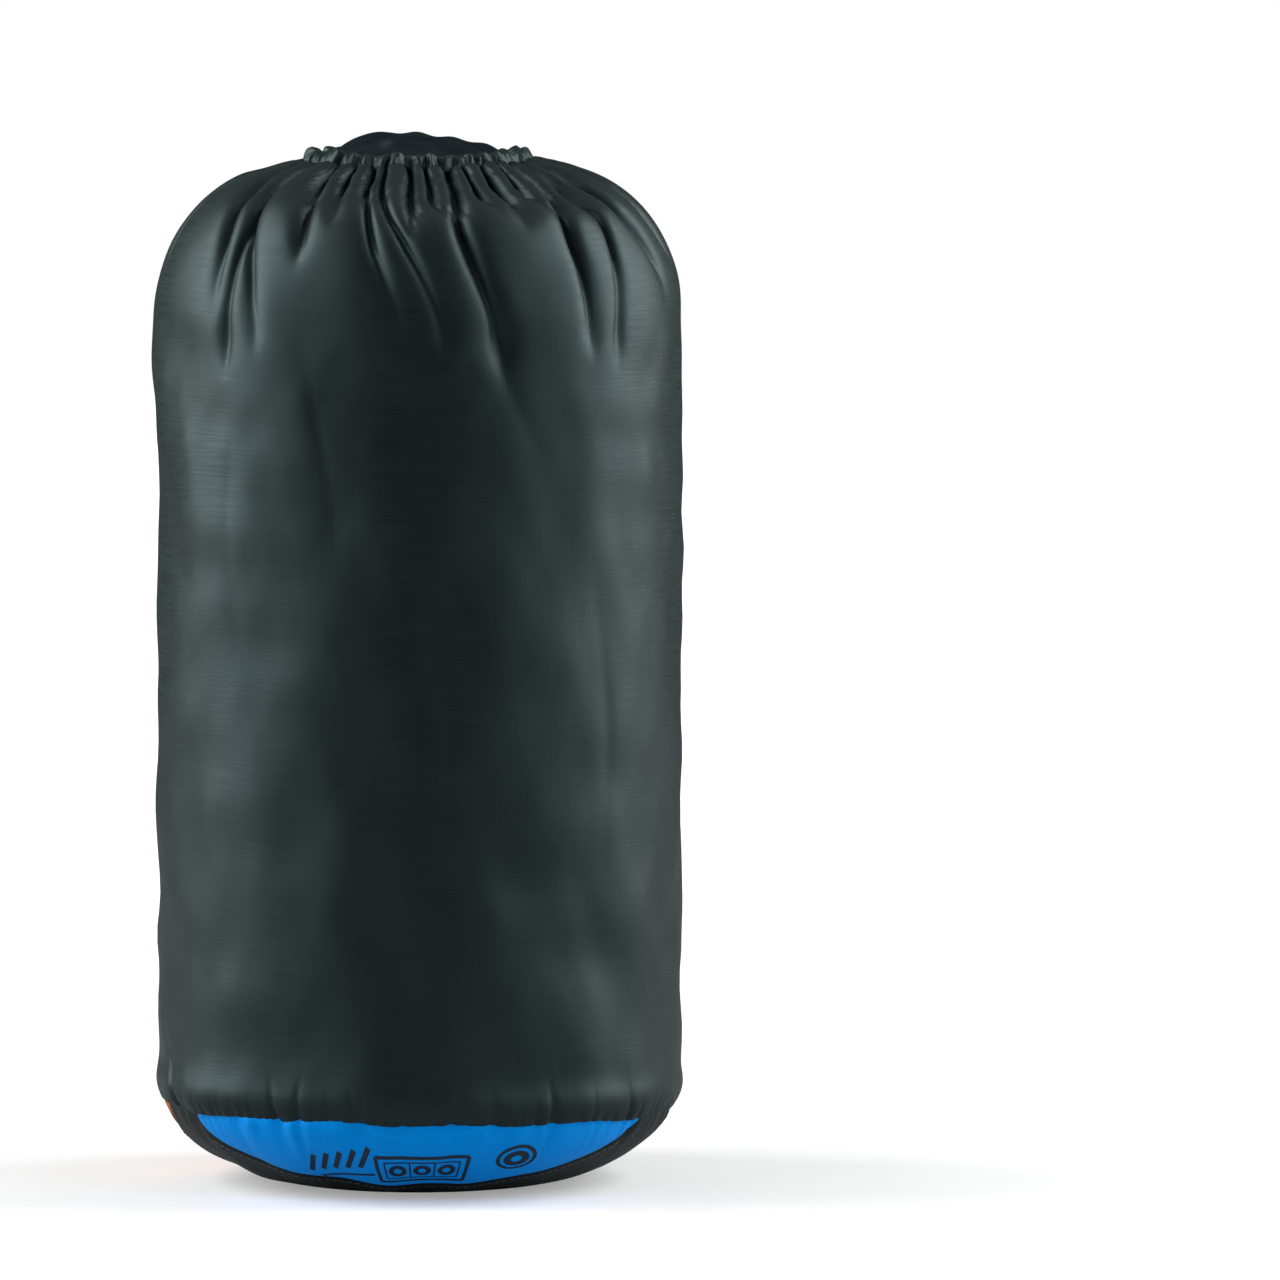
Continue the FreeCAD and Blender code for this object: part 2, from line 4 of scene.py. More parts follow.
import bpy
import numpy as np
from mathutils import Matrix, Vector


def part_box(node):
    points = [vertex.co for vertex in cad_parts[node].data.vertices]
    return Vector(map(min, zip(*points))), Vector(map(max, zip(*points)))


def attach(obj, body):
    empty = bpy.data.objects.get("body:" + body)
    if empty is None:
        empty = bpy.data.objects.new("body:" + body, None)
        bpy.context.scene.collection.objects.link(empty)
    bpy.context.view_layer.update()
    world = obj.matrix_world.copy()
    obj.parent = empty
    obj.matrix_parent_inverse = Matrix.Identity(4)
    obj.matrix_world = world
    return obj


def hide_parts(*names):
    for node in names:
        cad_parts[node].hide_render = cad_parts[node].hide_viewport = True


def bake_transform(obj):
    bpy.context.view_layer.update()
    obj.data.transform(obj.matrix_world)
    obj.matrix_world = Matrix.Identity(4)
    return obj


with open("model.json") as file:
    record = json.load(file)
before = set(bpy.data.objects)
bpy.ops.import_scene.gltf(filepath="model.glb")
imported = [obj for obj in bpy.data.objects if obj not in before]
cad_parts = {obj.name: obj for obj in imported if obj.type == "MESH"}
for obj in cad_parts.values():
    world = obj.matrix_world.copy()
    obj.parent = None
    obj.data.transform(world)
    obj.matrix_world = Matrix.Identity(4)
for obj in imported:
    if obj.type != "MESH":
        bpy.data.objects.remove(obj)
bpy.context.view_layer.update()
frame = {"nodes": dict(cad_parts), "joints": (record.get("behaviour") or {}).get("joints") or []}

# A stuffed drawcord sack on its round base, mouth up. Metres, in the row frame: the floor is z = 0,
# the front faces -Y and +X is to the right. Angles round the sack run from the front towards +X.

MM = 0.001
DEG = math.pi / 180
FULL_TURN = 2 * math.pi

CORD_RADIUS = 1.25 * MM
HEM_INSIDE = 37.3 * MM
PANEL_LOW, PANEL_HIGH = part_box("body_panel")
RADIUS = PANEL_HIGH.x
TOP = PANEL_HIGH.z
SEAM = PANEL_LOW.z
CORD_RING = -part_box("drawcord")[0].y - CORD_RADIUS
CORD_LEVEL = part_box("drawcord")[1].z - CORD_RADIUS
FLAP_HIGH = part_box("mouth_flap")[1]
HINGE = Vector(next(joint for joint in frame["joints"] if joint["name"] == "flap_lift")["pos_m"])

# The outline's roundings, as part.py has them.
SHOULDER_ROUND = 62.0 * MM
SIDE_ROUND = 36.0 * MM
BASE_ROUND = 73.3 * MM
BASE_FLAT = 45.2 * MM
PANEL_ARC = 180.5 * MM
PANEL_ARC_REACH = 107.0 * MM
REAR_PANEL_TURN = -139.0 * DEG
LEG_SLOPE = 13.5 * DEG
LEG_START = Vector((0.0, 50.9, 411.47)) * MM
LEG_LENGTH = 28.0 * MM
LEG_BEND = 12.0 * MM
CORD_OFFSET = 1.4 * MM
CORD_BEND = 8.0 * MM
SPRING_WIRE = 0.3 * MM
SPRING_TURNS = 3
DENT_DEPTH = 4.3 * MM

SIDE_TILT = math.asin((RADIUS - SIDE_ROUND - BASE_FLAT) / (BASE_ROUND - SIDE_ROUND))
SIDE_CENTRE = RADIUS - SIDE_ROUND
SIDE_LEVEL = BASE_ROUND - (BASE_ROUND - SIDE_ROUND) * math.cos(SIDE_TILT)
QUARTER = SHOULDER_ROUND * math.pi / 2
STRAIGHT = TOP - SHOULDER_ROUND - SIDE_LEVEL
PANEL_LENGTH = QUARTER + STRAIGHT + SIDE_ROUND * math.asin((SIDE_LEVEL - SEAM) / SIDE_ROUND)
CLOTH_ROUND = FULL_TURN * RADIUS
FLAP_BALL = 73.0 * MM

CAMERA_DISTANCE = 4.5
CAMERA_RISE = 4.3 * DEG
VIEW_WIDTH = 516 * MM
VIEW_MIDDLE = (88.9 * MM, 0.0, 218 * MM)
WORLD_LIGHT = 0.03
FLOOR_GLOW = 0.31


def smooth(x):
    """Rises from 0 to 1 as x does, level at both ends."""
    x = np.clip(x, 0, 1)
    return x * x * (3 - 2 * x)


def wrapped(angle):
    """The same angle between minus and plus half a turn."""
    return (angle + math.pi) % FULL_TURN - math.pi


def waves(rng, around, along, count, turns, length):
    """Seeded waves that close up round the sack, with a mean square of 1.

    turns: fewest and most waves round the sack. length: shortest and longest wave along it.
    """
    total = np.zeros(np.broadcast(around, along).shape)
    for _ in range(count):
        lobes = int(rng.integers(turns[0], turns[1] + 1)) * int(rng.choice((-1, 1)))
        pitch = FULL_TURN / rng.uniform(*length)
        total += np.cos(lobes * around + pitch * along + rng.uniform(0, FULL_TURN))
    return total * math.sqrt(2 / count)


# ---------------------------------------------------------------- mesh helpers


def add_mesh(name, points, faces):
    mesh = bpy.data.meshes.new(name)
    mesh.from_pydata(np.asarray(points, float).reshape(-1, 3), [], faces)
    mesh.polygons.foreach_set("use_smooth", np.ones(len(mesh.polygons), bool))
    mesh.update()
    piece = bpy.data.objects.new(name, mesh)
    bpy.context.scene.collection.objects.link(piece)
    return piece


def grid_faces(rows, columns, close_columns=False, close_rows=False):
    """Quads of a grid whose points go row by row; they face out where columns run to the left of rows."""
    down = np.arange(rows if close_rows else rows - 1)[:, None]
    across = np.arange(columns if close_columns else columns - 1)[None, :]
    next_down, next_across = (down + 1) % rows, (across + 1) % columns
    corners = (
        down * columns + across,
        next_down * columns + across,
        next_down * columns + next_across,
        down * columns + next_across,
    )
    return np.stack([c + 0 * (down + across) for c in corners], -1).reshape(-1, 4).tolist()


def store_cloth(piece, across, along):
    """Keep where each point lies on the flat cloth, for the weave in its material."""
    flat = np.stack([across, along, 0 * across], -1).reshape(-1, 3)
    layer = piece.data.attributes.new("cloth", "FLOAT_VECTOR", "POINT")
    layer.data.foreach_set("vector", flat.astype(np.float32).ravel())


def cylindrical(radius, around, height):
    return np.stack([radius * np.sin(around), -radius * np.cos(around), height + 0 * around], -1)


def travelled_along(line):
    """Distance of each point of a line from its first point."""
    return np.concatenate([[0], np.cumsum(np.linalg.norm(np.diff(line, axis=0), axis=1))])


def smoothed(values, reach):
    """Running mean over the given number of neighbours on each side."""
    count = 2 * reach + 1
    return np.convolve(np.pad(values, reach, mode="edge"), np.ones(count) / count, mode="valid")


def tube_mesh(name, line, beside, above, hint=(0, 0, 1), closed=False):
    """A tube along a line, from its section points' distances beside the line and above it.

    hint: a direction that stays well off the line's own, for which way is up.
    """
    ahead = np.roll(line, -1, 0) - np.roll(line, 1, 0)
    if not closed:
        ahead[0], ahead[-1] = line[1] - line[0], line[-1] - line[-2]
    ahead /= np.linalg.norm(ahead, axis=1, keepdims=True)
    side = np.cross(ahead, hint)
    side /= np.linalg.norm(side, axis=1, keepdims=True)
    up = np.cross(side, ahead)
    points = line[:, None] + beside[..., None] * side[:, None] + above[..., None] * up[:, None]
    rows, columns = points.shape[:2]
    faces = grid_faces(rows, columns, close_columns=True, close_rows=closed)
    if not closed:
        faces += [list(range(columns))[::-1], list(range((rows - 1) * columns, rows * columns))]
    return add_mesh(name, points, faces)


def fan(first, columns, centre):
    """Triangles that close a ring of points to one centre point."""
    return [[first + k, centre, first + (k + 1) % columns] for k in range(columns)]


# ---------------------------------------------------------------- the side panel


def panel_curve(down):
    """Radius, height, and the outward normal's radial and upward parts, at a distance below the hem."""
    lean = np.clip(down / SHOULDER_ROUND, 0, math.pi / 2)
    tuck = np.clip(down - QUARTER - STRAIGHT, 0, None) / SIDE_ROUND
    radius = RADIUS - SHOULDER_ROUND * (1 - np.sin(lean)) - SIDE_ROUND * (1 - np.cos(tuck))
    height = TOP - SHOULDER_ROUND * (1 - np.cos(lean)) - np.clip(down - QUARTER, 0, STRAIGHT)
    return radius, height - SIDE_ROUND * np.sin(tuck), np.sin(lean + tuck), np.cos(lean + tuck)


# Long pleats across the front: depth, width, and where each runs, as distances below the hem in mm
# and degrees from the front.
FRONT_PLEATS = (
    (0.9, 1.0, ((0, -80), (40, -84), (68, -83), (82, -79))),
    (1.1, 1.0, ((0, -67), (30, -60), (68, -51), (94, -49))),
    (0.8, 1.0, ((55, -46), (86, -45), (116, -45.5))),
    (1.3, 1.1, ((0, -58), (25, -51), (45, -48), (78, -40), (104, -36.5))),
    (1.2, 1.0, ((0, -43), (34, -32), (61, -28), (72, -27))),
    (0.6, 0.9, ((0, -32), (30, -24), (52, -21))),
    (0.9, 0.9, ((0, -22), (40, -14), (65, -10), (96, -3))),
    (0.8, 0.9, ((4, -15), (47, -8), (65, -2), (88, 4), (106, 7))),
    (0.9, 0.9, ((0, -4), (12, -2), (58, -1))),
    (0.7, 0.9, ((0, 4), (20, 5), (46, 5))),
    (1.7, 1.3, ((0, 16), (30, 13), (54, 11), (70, 13), (98, 18), (116, 20))),
    (0.7, 0.8, ((0, 24), (25, 21), (42, 20))),
    (1.0, 1.1, ((0, 34), (22, 30), (53, 28))),
    (0.6, 0.8, ((0, 44), (20, 38), (44, 35))),
    (1.3, 1.0, ((0, 54), (11, 48), (62, 40), (91, 41), (106, 41.5))),
    (1.3, 1.5, ((0, 64), (10, 60), (30, 55), (48, 51))),
    (0.8, 0.9, ((45, 55), (71, 52), (98, 50), (112, 49))),
    (0.9, 1.0, ((0, 74), (27, 63), (50, 64), (74, 69), (88, 70))),
    (0.8, 1.0, ((0, 88), (30, 79), (62, 80), (80, 83))),
)
LONG_PLEATS_BEHIND = 19
HEM_RUFFLES = 44
PLEAT_DEPTH_LIMIT = 8.5 * MM
PLEAT_ZONE = 150.0 * MM
ROWS_FINE = 64
ROWS_FADING = 22
COLUMNS = 600


def pleat_paths(rng):
    """Every pleat's depth, width and path: in front, the long ones behind, and short ones at the hem."""
    paths = [(depth, width, np.array(path)) for depth, width, path in FRONT_PLEATS]
    for place in np.linspace(97, 263, LONG_PLEATS_BEHIND):
        turn = place + rng.uniform(-3, 3)
        reach = rng.uniform(50, 112)
        drift = np.cumsum(rng.uniform(-4.5, 4.5, 4))
        steps = zip(np.linspace(0, reach, 4), turn + drift)
        paths.append((rng.uniform(0.6, 1.5), rng.uniform(0.85, 1.3), np.array(list(steps))))
    taken = [path[0, 1] for _, _, path in paths if path[0, 0] < 5]
    for place in np.arange(HEM_RUFFLES) * 360 / HEM_RUFFLES:
        turn = place + rng.uniform(-1.5, 1.5)
        apart = min(abs((turn - other + 180) % 360 - 180) for other in taken)
        reach = rng.uniform(9, 30)
        depth = rng.uniform(0.5, 0.9)
        if apart > 4.9 and abs((turn + 180) % 360 - 180) > 70:
            paths.append((depth, 0.8, np.array(((0, turn), (reach, turn + rng.uniform(-2, 2))))))
            taken.append(turn)
    return paths


def fading_down(down, start, reach):
    """Strength of a pleat that starts at or below the hem and dies away down the side."""
    strength = smooth((reach + 9 * MM - down) / (0.5 * reach))
    if start:
        strength = strength * smooth((down - start + 12 * MM) / (24 * MM))
    return strength


def growing_to_seam(down, start, reach):
    """Strength of a pucker that grows from its start down to the base seam."""
    return smooth((down - start) / (reach - start)) ** 1.5


def fading_both_ways(down, start, reach):
    """Strength of a crease that dies away at both its ends."""
    return smooth((down - start) / (0.5 * (reach - start))) * smooth((reach - down) / (0.5 * (reach - start)))


def fold_pattern(paths, around, down, strength_along, flare=2.4):
    """How deep the folds are against each other, at every angle and distance below the hem.

    Each path has a depth, a width, and its distances below the hem in mm with its angles in degrees.
    """
    radius = panel_curve(down)[0]
    pattern = np.zeros((len(down), len(around)))
    for depth, width, path in paths:
        path = np.array(path, float)
        start, reach = path[0, 0] * MM, path[-1, 0] * MM
        place = np.interp(down, path[:, 0] * MM, path[:, 1] * DEG)
        place = smoothed(place, 4)
        strength = depth * strength_along(down, start, reach)
        half = width * (1.05 + flare * np.clip(down / reach, 0, 1.2) ** 2) * MM
        away = wrapped(around[None, :] - place[:, None]) * (radius / half)[:, None]
        pattern += strength[:, None] / (1 + away**2) ** 1.25
    return pattern


def depth_for_length(pattern, radius, wanted):
    """Scale each row of the pattern until a line of cloth along it has the wanted length."""
    step = FULL_TURN / pattern.shape[1]
    low, high = np.zeros(len(radius)), np.full(len(radius), 20.0 * MM)
    for _ in range(26):
        middle = (low + high) / 2
        depth = limited(pattern * middle[:, None])
        rise = np.roll(depth, -1, 1) - depth
        length = np.hypot(rise, radius[:, None] * step).sum(1)
        low, high = np.where(length < wanted, middle, low), np.where(length < wanted, high, middle)
    return limited(pattern * low[:, None])


def limited(depth):
    return PLEAT_DEPTH_LIMIT * (1 - np.exp(-depth / PLEAT_DEPTH_LIMIT))


def front_sag(around, down):
    """How far the cloth sinks below the round shoulder, most in front; it rises again next to the hem."""
    in_front = np.exp(-((wrapped(around) / (55 * DEG)) ** 2))
    sunk = (2.0 + 3.0 * in_front) * np.exp(-(((down / MM - 14) / 24) ** 2))
    lift = (0.6 + 1.4 * in_front) * np.exp(-((down / MM / 18) ** 2))
    return (sunk - lift) * MM


def gathered_share(down):
    """Share of the cloth's length that the pleats hold; the rest is left out next to the hem."""
    return 0.8 + 0.2 * smooth(down / (22 * MM))


def pleated_rows(rng):
    """Points of the panel's gathered part: rows below the hem, columns round from the back seam."""
    fine = np.linspace(0, QUARTER + 4 * MM, ROWS_FINE, endpoint=False)
    fading = np.linspace(QUARTER + 4 * MM, PLEAT_ZONE, ROWS_FADING)
    down = np.concatenate([fine, fading])
    around = np.linspace(-math.pi, math.pi, 4 * COLUMNS, endpoint=False)
    radius, height, outward, upward = panel_curve(down)
    pattern = fold_pattern(pleat_paths(rng), around, down, fading_down)
    spare = 9 * MM * smooth((PLEAT_ZONE - down) / (60 * MM))
    depth = depth_for_length(pattern, radius, CLOTH_ROUND * gathered_share(down) + spare)
    depth -= 0.8 * np.percentile(depth, 30, axis=1, keepdims=True)
    near_hem = 1 - smooth(down / (26 * MM))
    lean = np.arctan2(outward, upward)
    lean = lean + near_hem * np.clip(58 * DEG - lean, 0, None)
    sunk = front_sag(around[None, :], down[:, None])
    wider = 0.6 * MM * (1 - smooth(down / (12 * MM)))
    rho = (radius + wider)[:, None] - depth * np.sin(lean)[:, None] - sunk * outward[:, None]
    rho = np.maximum(rho, CORD_RING + CORD_RADIUS + 0.2 * MM)
    level = height[:, None] - depth * np.cos(lean)[:, None] - sunk * upward[:, None]
    points = cylindrical(rho, around[None, :], level)
    return down, even_columns(points)


def even_columns(points):
    """Share each row's cloth evenly between the columns, the last of which meets the first at the back."""
    closed = np.concatenate([points, points[:, :1]], 1)
    along = np.cumsum(np.linalg.norm(np.diff(closed, axis=1), axis=2), axis=1)
    rows = []
    for row, travelled in zip(closed, along):
        wanted = np.linspace(0, travelled[-1], COLUMNS + 1)
        travelled = np.concatenate([[0], travelled])
        rows.append(np.stack([np.interp(wanted, travelled, row[:, k]) for k in range(3)], -1))
    return np.stack(rows)


RELAX_STEPS = 45
PRESSURE_STEP = 0.012 * MM
CLOSEST_WALLS = 0.11 * MM


def pull(a, b, rest, share):
    """Move two sets of points, in place, towards their rest distance."""
    gap = b - a
    length = np.sqrt((gap * gap).sum(-1, keepdims=True))
    move = gap * (0.5 * share * (1 - rest / np.maximum(length, 1e-9)))
    a += move
    b -= move


def pull_across(cloth, rest, reach, share):
    """Pull each point and the one `reach` columns on, round the closed rows."""
    columns = cloth.shape[1]
    for first in range(2 * reach):
        near = np.arange(first, columns, 2 * reach)
        far = (near + reach) % columns
        a, b = cloth[:, near], cloth[:, far]
        pull(a, b, rest, share)
        cloth[:, near], cloth[:, far] = a, b


def pull_down(cloth, rest, reach, share):
    """Pull each point and the one `reach` rows below it."""
    for first in range(2 * reach):
        near = np.arange(first, cloth.shape[0] - reach, 2 * reach)
        a, b = cloth[near], cloth[near + reach]
        pull(a, b, rest[near], share)
        cloth[near], cloth[near + reach] = a, b


def pull_slanting(cloth, rest, turn, share):
    """Pull each point and the one below it and a column to one side."""
    for first in range(2):
        near = np.arange(first, cloth.shape[0] - 1, 2)
        a, b = cloth[near], np.roll(cloth[near + 1], -turn, 1)
        pull(a, b, rest[near], share)
        cloth[near], cloth[near + 1] = a, np.roll(b, turn, 1)


def inflate(cloth):
    """Push the cloth out along its own normals, as the stuffing does."""
    across = np.roll(cloth, -1, 1) - np.roll(cloth, 1, 1)
    along = np.zeros_like(cloth)
    along[1:-1] = cloth[2:] - cloth[:-2]
    out = np.cross(along, across)
    out /= np.maximum(np.sqrt((out * out).sum(-1, keepdims=True)), 1e-12)
    cloth += PRESSURE_STEP * out


def hold_in_form(cloth, sunk, proud):
    """Keep the cloth between the round form, less its sag, and the deepest that a pleat may go."""
    rho = np.hypot(cloth[..., 0], cloth[..., 1])
    off_r = np.maximum(rho - (RADIUS - SHOULDER_ROUND), 0)
    off_z = np.maximum(cloth[..., 2] - (TOP - SHOULDER_ROUND), 0)
    reach = np.maximum(np.hypot(off_r, off_z), 1e-6)
    size = np.where(off_z > 0, reach, off_r)
    wanted = np.clip(size, SHOULDER_ROUND - PLEAT_DEPTH_LIMIT - sunk, SHOULDER_ROUND + proud - sunk)
    move = (wanted - size) / np.maximum(size, 1e-6)
    cloth[..., :2] *= (1 + move * off_r / rho)[..., None]
    cloth[..., 2] += move * off_z


def keep_order(cloth):
    """Keep neighbouring walls of a pleat from passing through each other."""
    rho = np.hypot(cloth[..., 0], cloth[..., 1])
    angle = np.arctan2(cloth[..., 0], -cloth[..., 1])
    ahead = wrapped(np.roll(angle, -1, 1) - angle)
    short = np.clip(CLOSEST_WALLS / rho - ahead, 0, None)
    angle += 0.5 * (np.roll(short, 1, 1) - short)
    cloth[..., 0] = rho * np.sin(angle)
    cloth[..., 1] = -rho * np.cos(angle)


def relaxed(points, down, steps):
    """Let the gathered cloth find its own folds, swelled by the stuffing and hardly stretched."""
    cloth = points[:, :-1].copy()
    hem, fast = cloth[0].copy(), cloth[-1].copy()
    across = CLOTH_ROUND / COLUMNS * gathered_share(down)[:, None, None]
    drop = np.diff(down)[:, None, None]
    two_drops = (down[2:] - down[:-2])[:, None, None]
    slant = np.hypot(drop, across[1:])
    around = np.linspace(-math.pi, math.pi, COLUMNS, endpoint=False)
    sunk = front_sag(around[None, :], down[:, None])
    proud = 1.2 * MM * smooth((PLEAT_ZONE - down[:, None]) / (80 * MM))
    for _ in range(steps):
        inflate(cloth)
        pull_across(cloth, 2 * across, 2, 0.06)
        pull_down(cloth, two_drops, 2, 0.25)
        pull_slanting(cloth, slant, 1, 0.25)
        pull_slanting(cloth, slant, -1, 0.25)
        pull_down(cloth, drop, 1, 0.8)
        pull_across(cloth, across, 1, 0.9)
        hold_in_form(cloth, sunk, proud)
        keep_order(cloth)
        cloth[0], cloth[-1] = hem, fast
    for _ in range(3):
        cloth[1:-1] = 0.25 * cloth[:-2] + 0.5 * cloth[1:-1] + 0.25 * cloth[2:]
    return np.concatenate([cloth, cloth[:, :1]], 1)


# Faint creases of the stuffed side: depth, width and path, as for the pleats.
BODY_CREASES = (
    (0.5, 3.0, ((95, -26), (140, -21), (205, -15))),
    (0.5, 3.5, ((85, 10), (120, 20), (165, 31))),
    (0.4, 3.0, ((120, -42), (180, -46), (250, -40))),
    (0.4, 4.0, ((210, 2), (270, 9), (330, 4))),
    (0.5, 3.5, ((180, 40), (250, 47), (330, 44))),
    (0.5, 3.5, ((130, 150), (210, 158), (290, 150))),
    (0.5, 3.5, ((160, -140), (240, -150), (330, -146))),
)
# Broad hollows between the pleats under the hem in front.
HEM_HOLLOWS = (
    (2.6, 4.2, ((-4, -21), (14, -19), (30, -17))),
    (2.2, 3.2, ((-4, 10), (12, 10), (26, 9))),
    (1.4, 2.4, ((-4, -3), (18, -3))),
    (2.8, 5.4, ((4, 27), (22, 32), (44, 30))),
    (2.0, 3.4, ((2, 56), (20, 51), (36, 47))),
    (1.8, 3.2, ((2, -48), (24, -42), (46, -38))),
    (1.8, 3.4, ((4, -35), (24, -30), (40, -26))),
)
# Deep puckers over the base seam, then the fold across the seam at the left.
DEEP_PUCKERS = (
    (2.0, 1.1, ((394, -34), (420, -32.5))),
    (1.6, 0.9, ((391, -25), (420, -27.5))),
    (1.8, 0.9, ((393, 30), (420, 31.5))),
    (1.0, 0.8, ((404, 27), (420, 27.5))),
    (1.1, 1.0, ((398, 11.5), (420, 7.5))),
    (0.9, 0.8, ((402, -3.5), (420, -2.5))),
    (0.9, 0.9, ((398, -15), (420, -12))),
    (0.8, 0.8, ((402, 18), (420, 18))),
    (1.1, 1.0, ((396, 52), (420, 54))),
    (1.8, 1.6, ((372, -79), (400, -70), (420, -66))),
)
SEAM_PUCKERS = 140
SEAM_ZONE = 26.0 * MM
ROWS_MIDDLE = 34
ROWS_SEAM = 18
SEAM_BULGE = 1.4 * MM
PUCKER_SEED = 23


def seam_puckers(rng):
    paths = list(DEEP_PUCKERS)
    for place in np.arange(SEAM_PUCKERS) * 360 / SEAM_PUCKERS:
        turn = place + rng.uniform(-1.6, 1.6)
        start = PANEL_LENGTH / MM - rng.uniform(5, 21)
        lean = turn + rng.uniform(-1.5, 1.5)
        paths.append((rng.uniform(0.25, 0.8), rng.uniform(0.55, 0.8), ((start, lean), (420, turn))))
    return paths


# How far the base seam rides up, in mm before SEAM_RISE_SCALE, at angles from the front in degrees.
SEAM_RISE = (
    (-180, 0.0), (-130, 0.3), (-98, 4.2), (-75, 4.2), (-30, 3.6),
    (10, 3.6), (40, 2.2), (65, 1.6), (92, 0.2), (180, 0.0),
)


SEAM_RISE_SCALE = 1.1


def seam_shift(around):
    """How much shorter than in the frame the side panel is, down to its seam."""
    turns, rise = np.array(SEAM_RISE).T
    stray = 0.4 * waves(np.random.default_rng(5), around, 0 * around, 9, (4, 17), (1, 2))
    return (SEAM_RISE_SCALE * np.interp(wrapped(around) / DEG, turns, rise) + stray) * MM


def pucker_table():
    """The puckers' depths along the seam, for the base cloth to share."""
    turns = np.linspace(-math.pi, math.pi, 2 * COLUMNS + 1)
    paths = seam_puckers(np.random.default_rng(PUCKER_SEED))
    return turns, fold_pattern(paths, turns, np.array([PANEL_LENGTH]), growing_to_seam, 0.3)[0] * MM


PUCKER_TURNS, PUCKER_DEPTHS = pucker_table()


def panel_swell(around, down):
    """Uneven filling: broad lumps and long soft streaks, none next to the hem."""
    rng = np.random.default_rng(11)
    lumps = waves(rng, around, down, 14, (3, 9), (60 * MM, 220 * MM))
    streaks = waves(rng, around, down, 12, (10, 22), (90 * MM, 400 * MM))
    small = waves(rng, around, down, 14, (14, 40), (22 * MM, 60 * MM))
    bands = waves(rng, around, down, 10, (1, 5), (26 * MM, 46 * MM))
    amount = 0.55 * MM * lumps + 0.14 * MM * streaks + 0.08 * MM * small + 0.22 * MM * bands
    return amount * (0.15 + 0.85 * smooth((down - 50 * MM) / (90 * MM)))


def lower_rows():
    """The panel below the pleats: its columns run straight down to the base seam."""
    down = np.concatenate([
        np.linspace(PLEAT_ZONE, PANEL_LENGTH - SEAM_ZONE, ROWS_MIDDLE + 1)[1:],
        np.linspace(PANEL_LENGTH - SEAM_ZONE, PANEL_LENGTH, ROWS_SEAM + 1)[1:],
    ])
    around = np.linspace(-math.pi, math.pi, COLUMNS + 1)
    shift = smooth((down - 250 * MM) / (150 * MM))[:, None] * seam_shift(around)[None, :]
    radius, height, _, _ = panel_curve(down[:, None] - shift)
    return down, cylindrical(radius, around[None, :], height)


def shaped(points, down):
    """Add the lumps, creases, puckers, seam bulge and seam wave to the panel's rows."""
    around = np.arctan2(points[..., 0], -points[..., 1])
    around[:, 0], around[:, -1] = -math.pi, math.pi
    lie = np.linspace(-math.pi, math.pi, COLUMNS, endpoint=False)
    creases = fold_pattern(BODY_CREASES, lie, down, fading_both_ways, 0.5)
    puckers = fold_pattern(seam_puckers(np.random.default_rng(PUCKER_SEED)), lie, down, growing_to_seam, 0.3)
    back_seam = fold_pattern(((0.5, 0.7, ((0, 180), (425, 180))),), lie, down, fading_down, 0.0)
    hollows = fold_pattern(HEM_HOLLOWS, lie, down, fading_both_ways, 0.4)
    inward = (creases + puckers + back_seam + hollows) * MM
    inward = np.concatenate([inward, inward[:, :1]], 1)
    bulge = SEAM_BULGE * np.exp(-(((PANEL_LENGTH - 7 * MM - down) / (7 * MM)) ** 2))
    move = panel_swell(around, down[:, None]) + bulge[:, None] - inward
    _, _, outward, upward = panel_curve(down)
    rho = np.hypot(points[..., 0], points[..., 1])
    grow = 1 + move * outward[:, None] / rho
    shaped_points = points.copy()
    shaped_points[..., :2] *= grow[..., None]
    shaped_points[..., 2] += move * upward[:, None]
    return shaped_points


def turned_in(points):
    """Rows that curl the lower edge in under itself, where it is sewn to the base."""
    edge = points[-1]
    rho = np.hypot(edge[:, 0], edge[:, 1])
    rows = [points]
    for inset, drop in ((0.5, 0.55), (1.3, 0.7), (2.3, 0.2), (3.0, -1.2)):
        row = edge.copy()
        row[:, :2] *= (1 - inset * MM / rho)[:, None]
        row[:, 2] -= drop * MM
        rows.append(row[None])
    return np.concatenate(rows)


def leg_height(y):
    """Height of the cord legs' middle line at a distance behind the axis."""
    return LEG_START.z - (y - LEG_START.y) * math.tan(LEG_SLOPE)


def dented(points):
    """Press the hollow for the cord lock into the shoulder behind the mouth."""
    x, y, z = points[..., 0], points[..., 1], points[..., 2]
    floor = leg_height(y) - (DENT_DEPTH + 0.3 * MM) / math.cos(LEG_SLOPE)
    spread = np.clip(np.abs(x) - 11.5 * MM, 0, None)
    floor += 0.9 * spread + 60 * spread**2
    floor += 1.0 * np.clip(y - 92 * MM, 0, None) + np.where(y < 30 * MM, 1.0, 0.0)
    above = z - floor
    soft = 1.2 * MM
    pressed = floor - soft * np.log1p(np.exp(np.clip(-above / soft, -40, 40)))
    lowered = points.copy()
    lowered[..., 2] = np.where(above > -6 * MM, np.minimum(z, pressed), z)
    return lowered


def make_body_panel():
    rng = np.random.default_rng(7)
    down, points = pleated_rows(rng)
    points = relaxed(points, down, RELAX_STEPS)
    lower_down, lower_points = lower_rows()
    down = np.concatenate([down, lower_down])
    points = turned_in(shaped(np.concatenate([points, lower_points]), down))
    points = dented(points)
    rows, columns = points.shape[:2]
    piece = add_mesh("body_cloth", points, grid_faces(rows, columns))
    down = np.concatenate([down, PANEL_LENGTH + np.arange(1, 5) * MM])
    across = np.linspace(0, CLOTH_ROUND, columns)
    store_cloth(piece, *np.broadcast_arrays(across, down[:, None]))
    return piece, points


# ---------------------------------------------------------------- the gathered channel


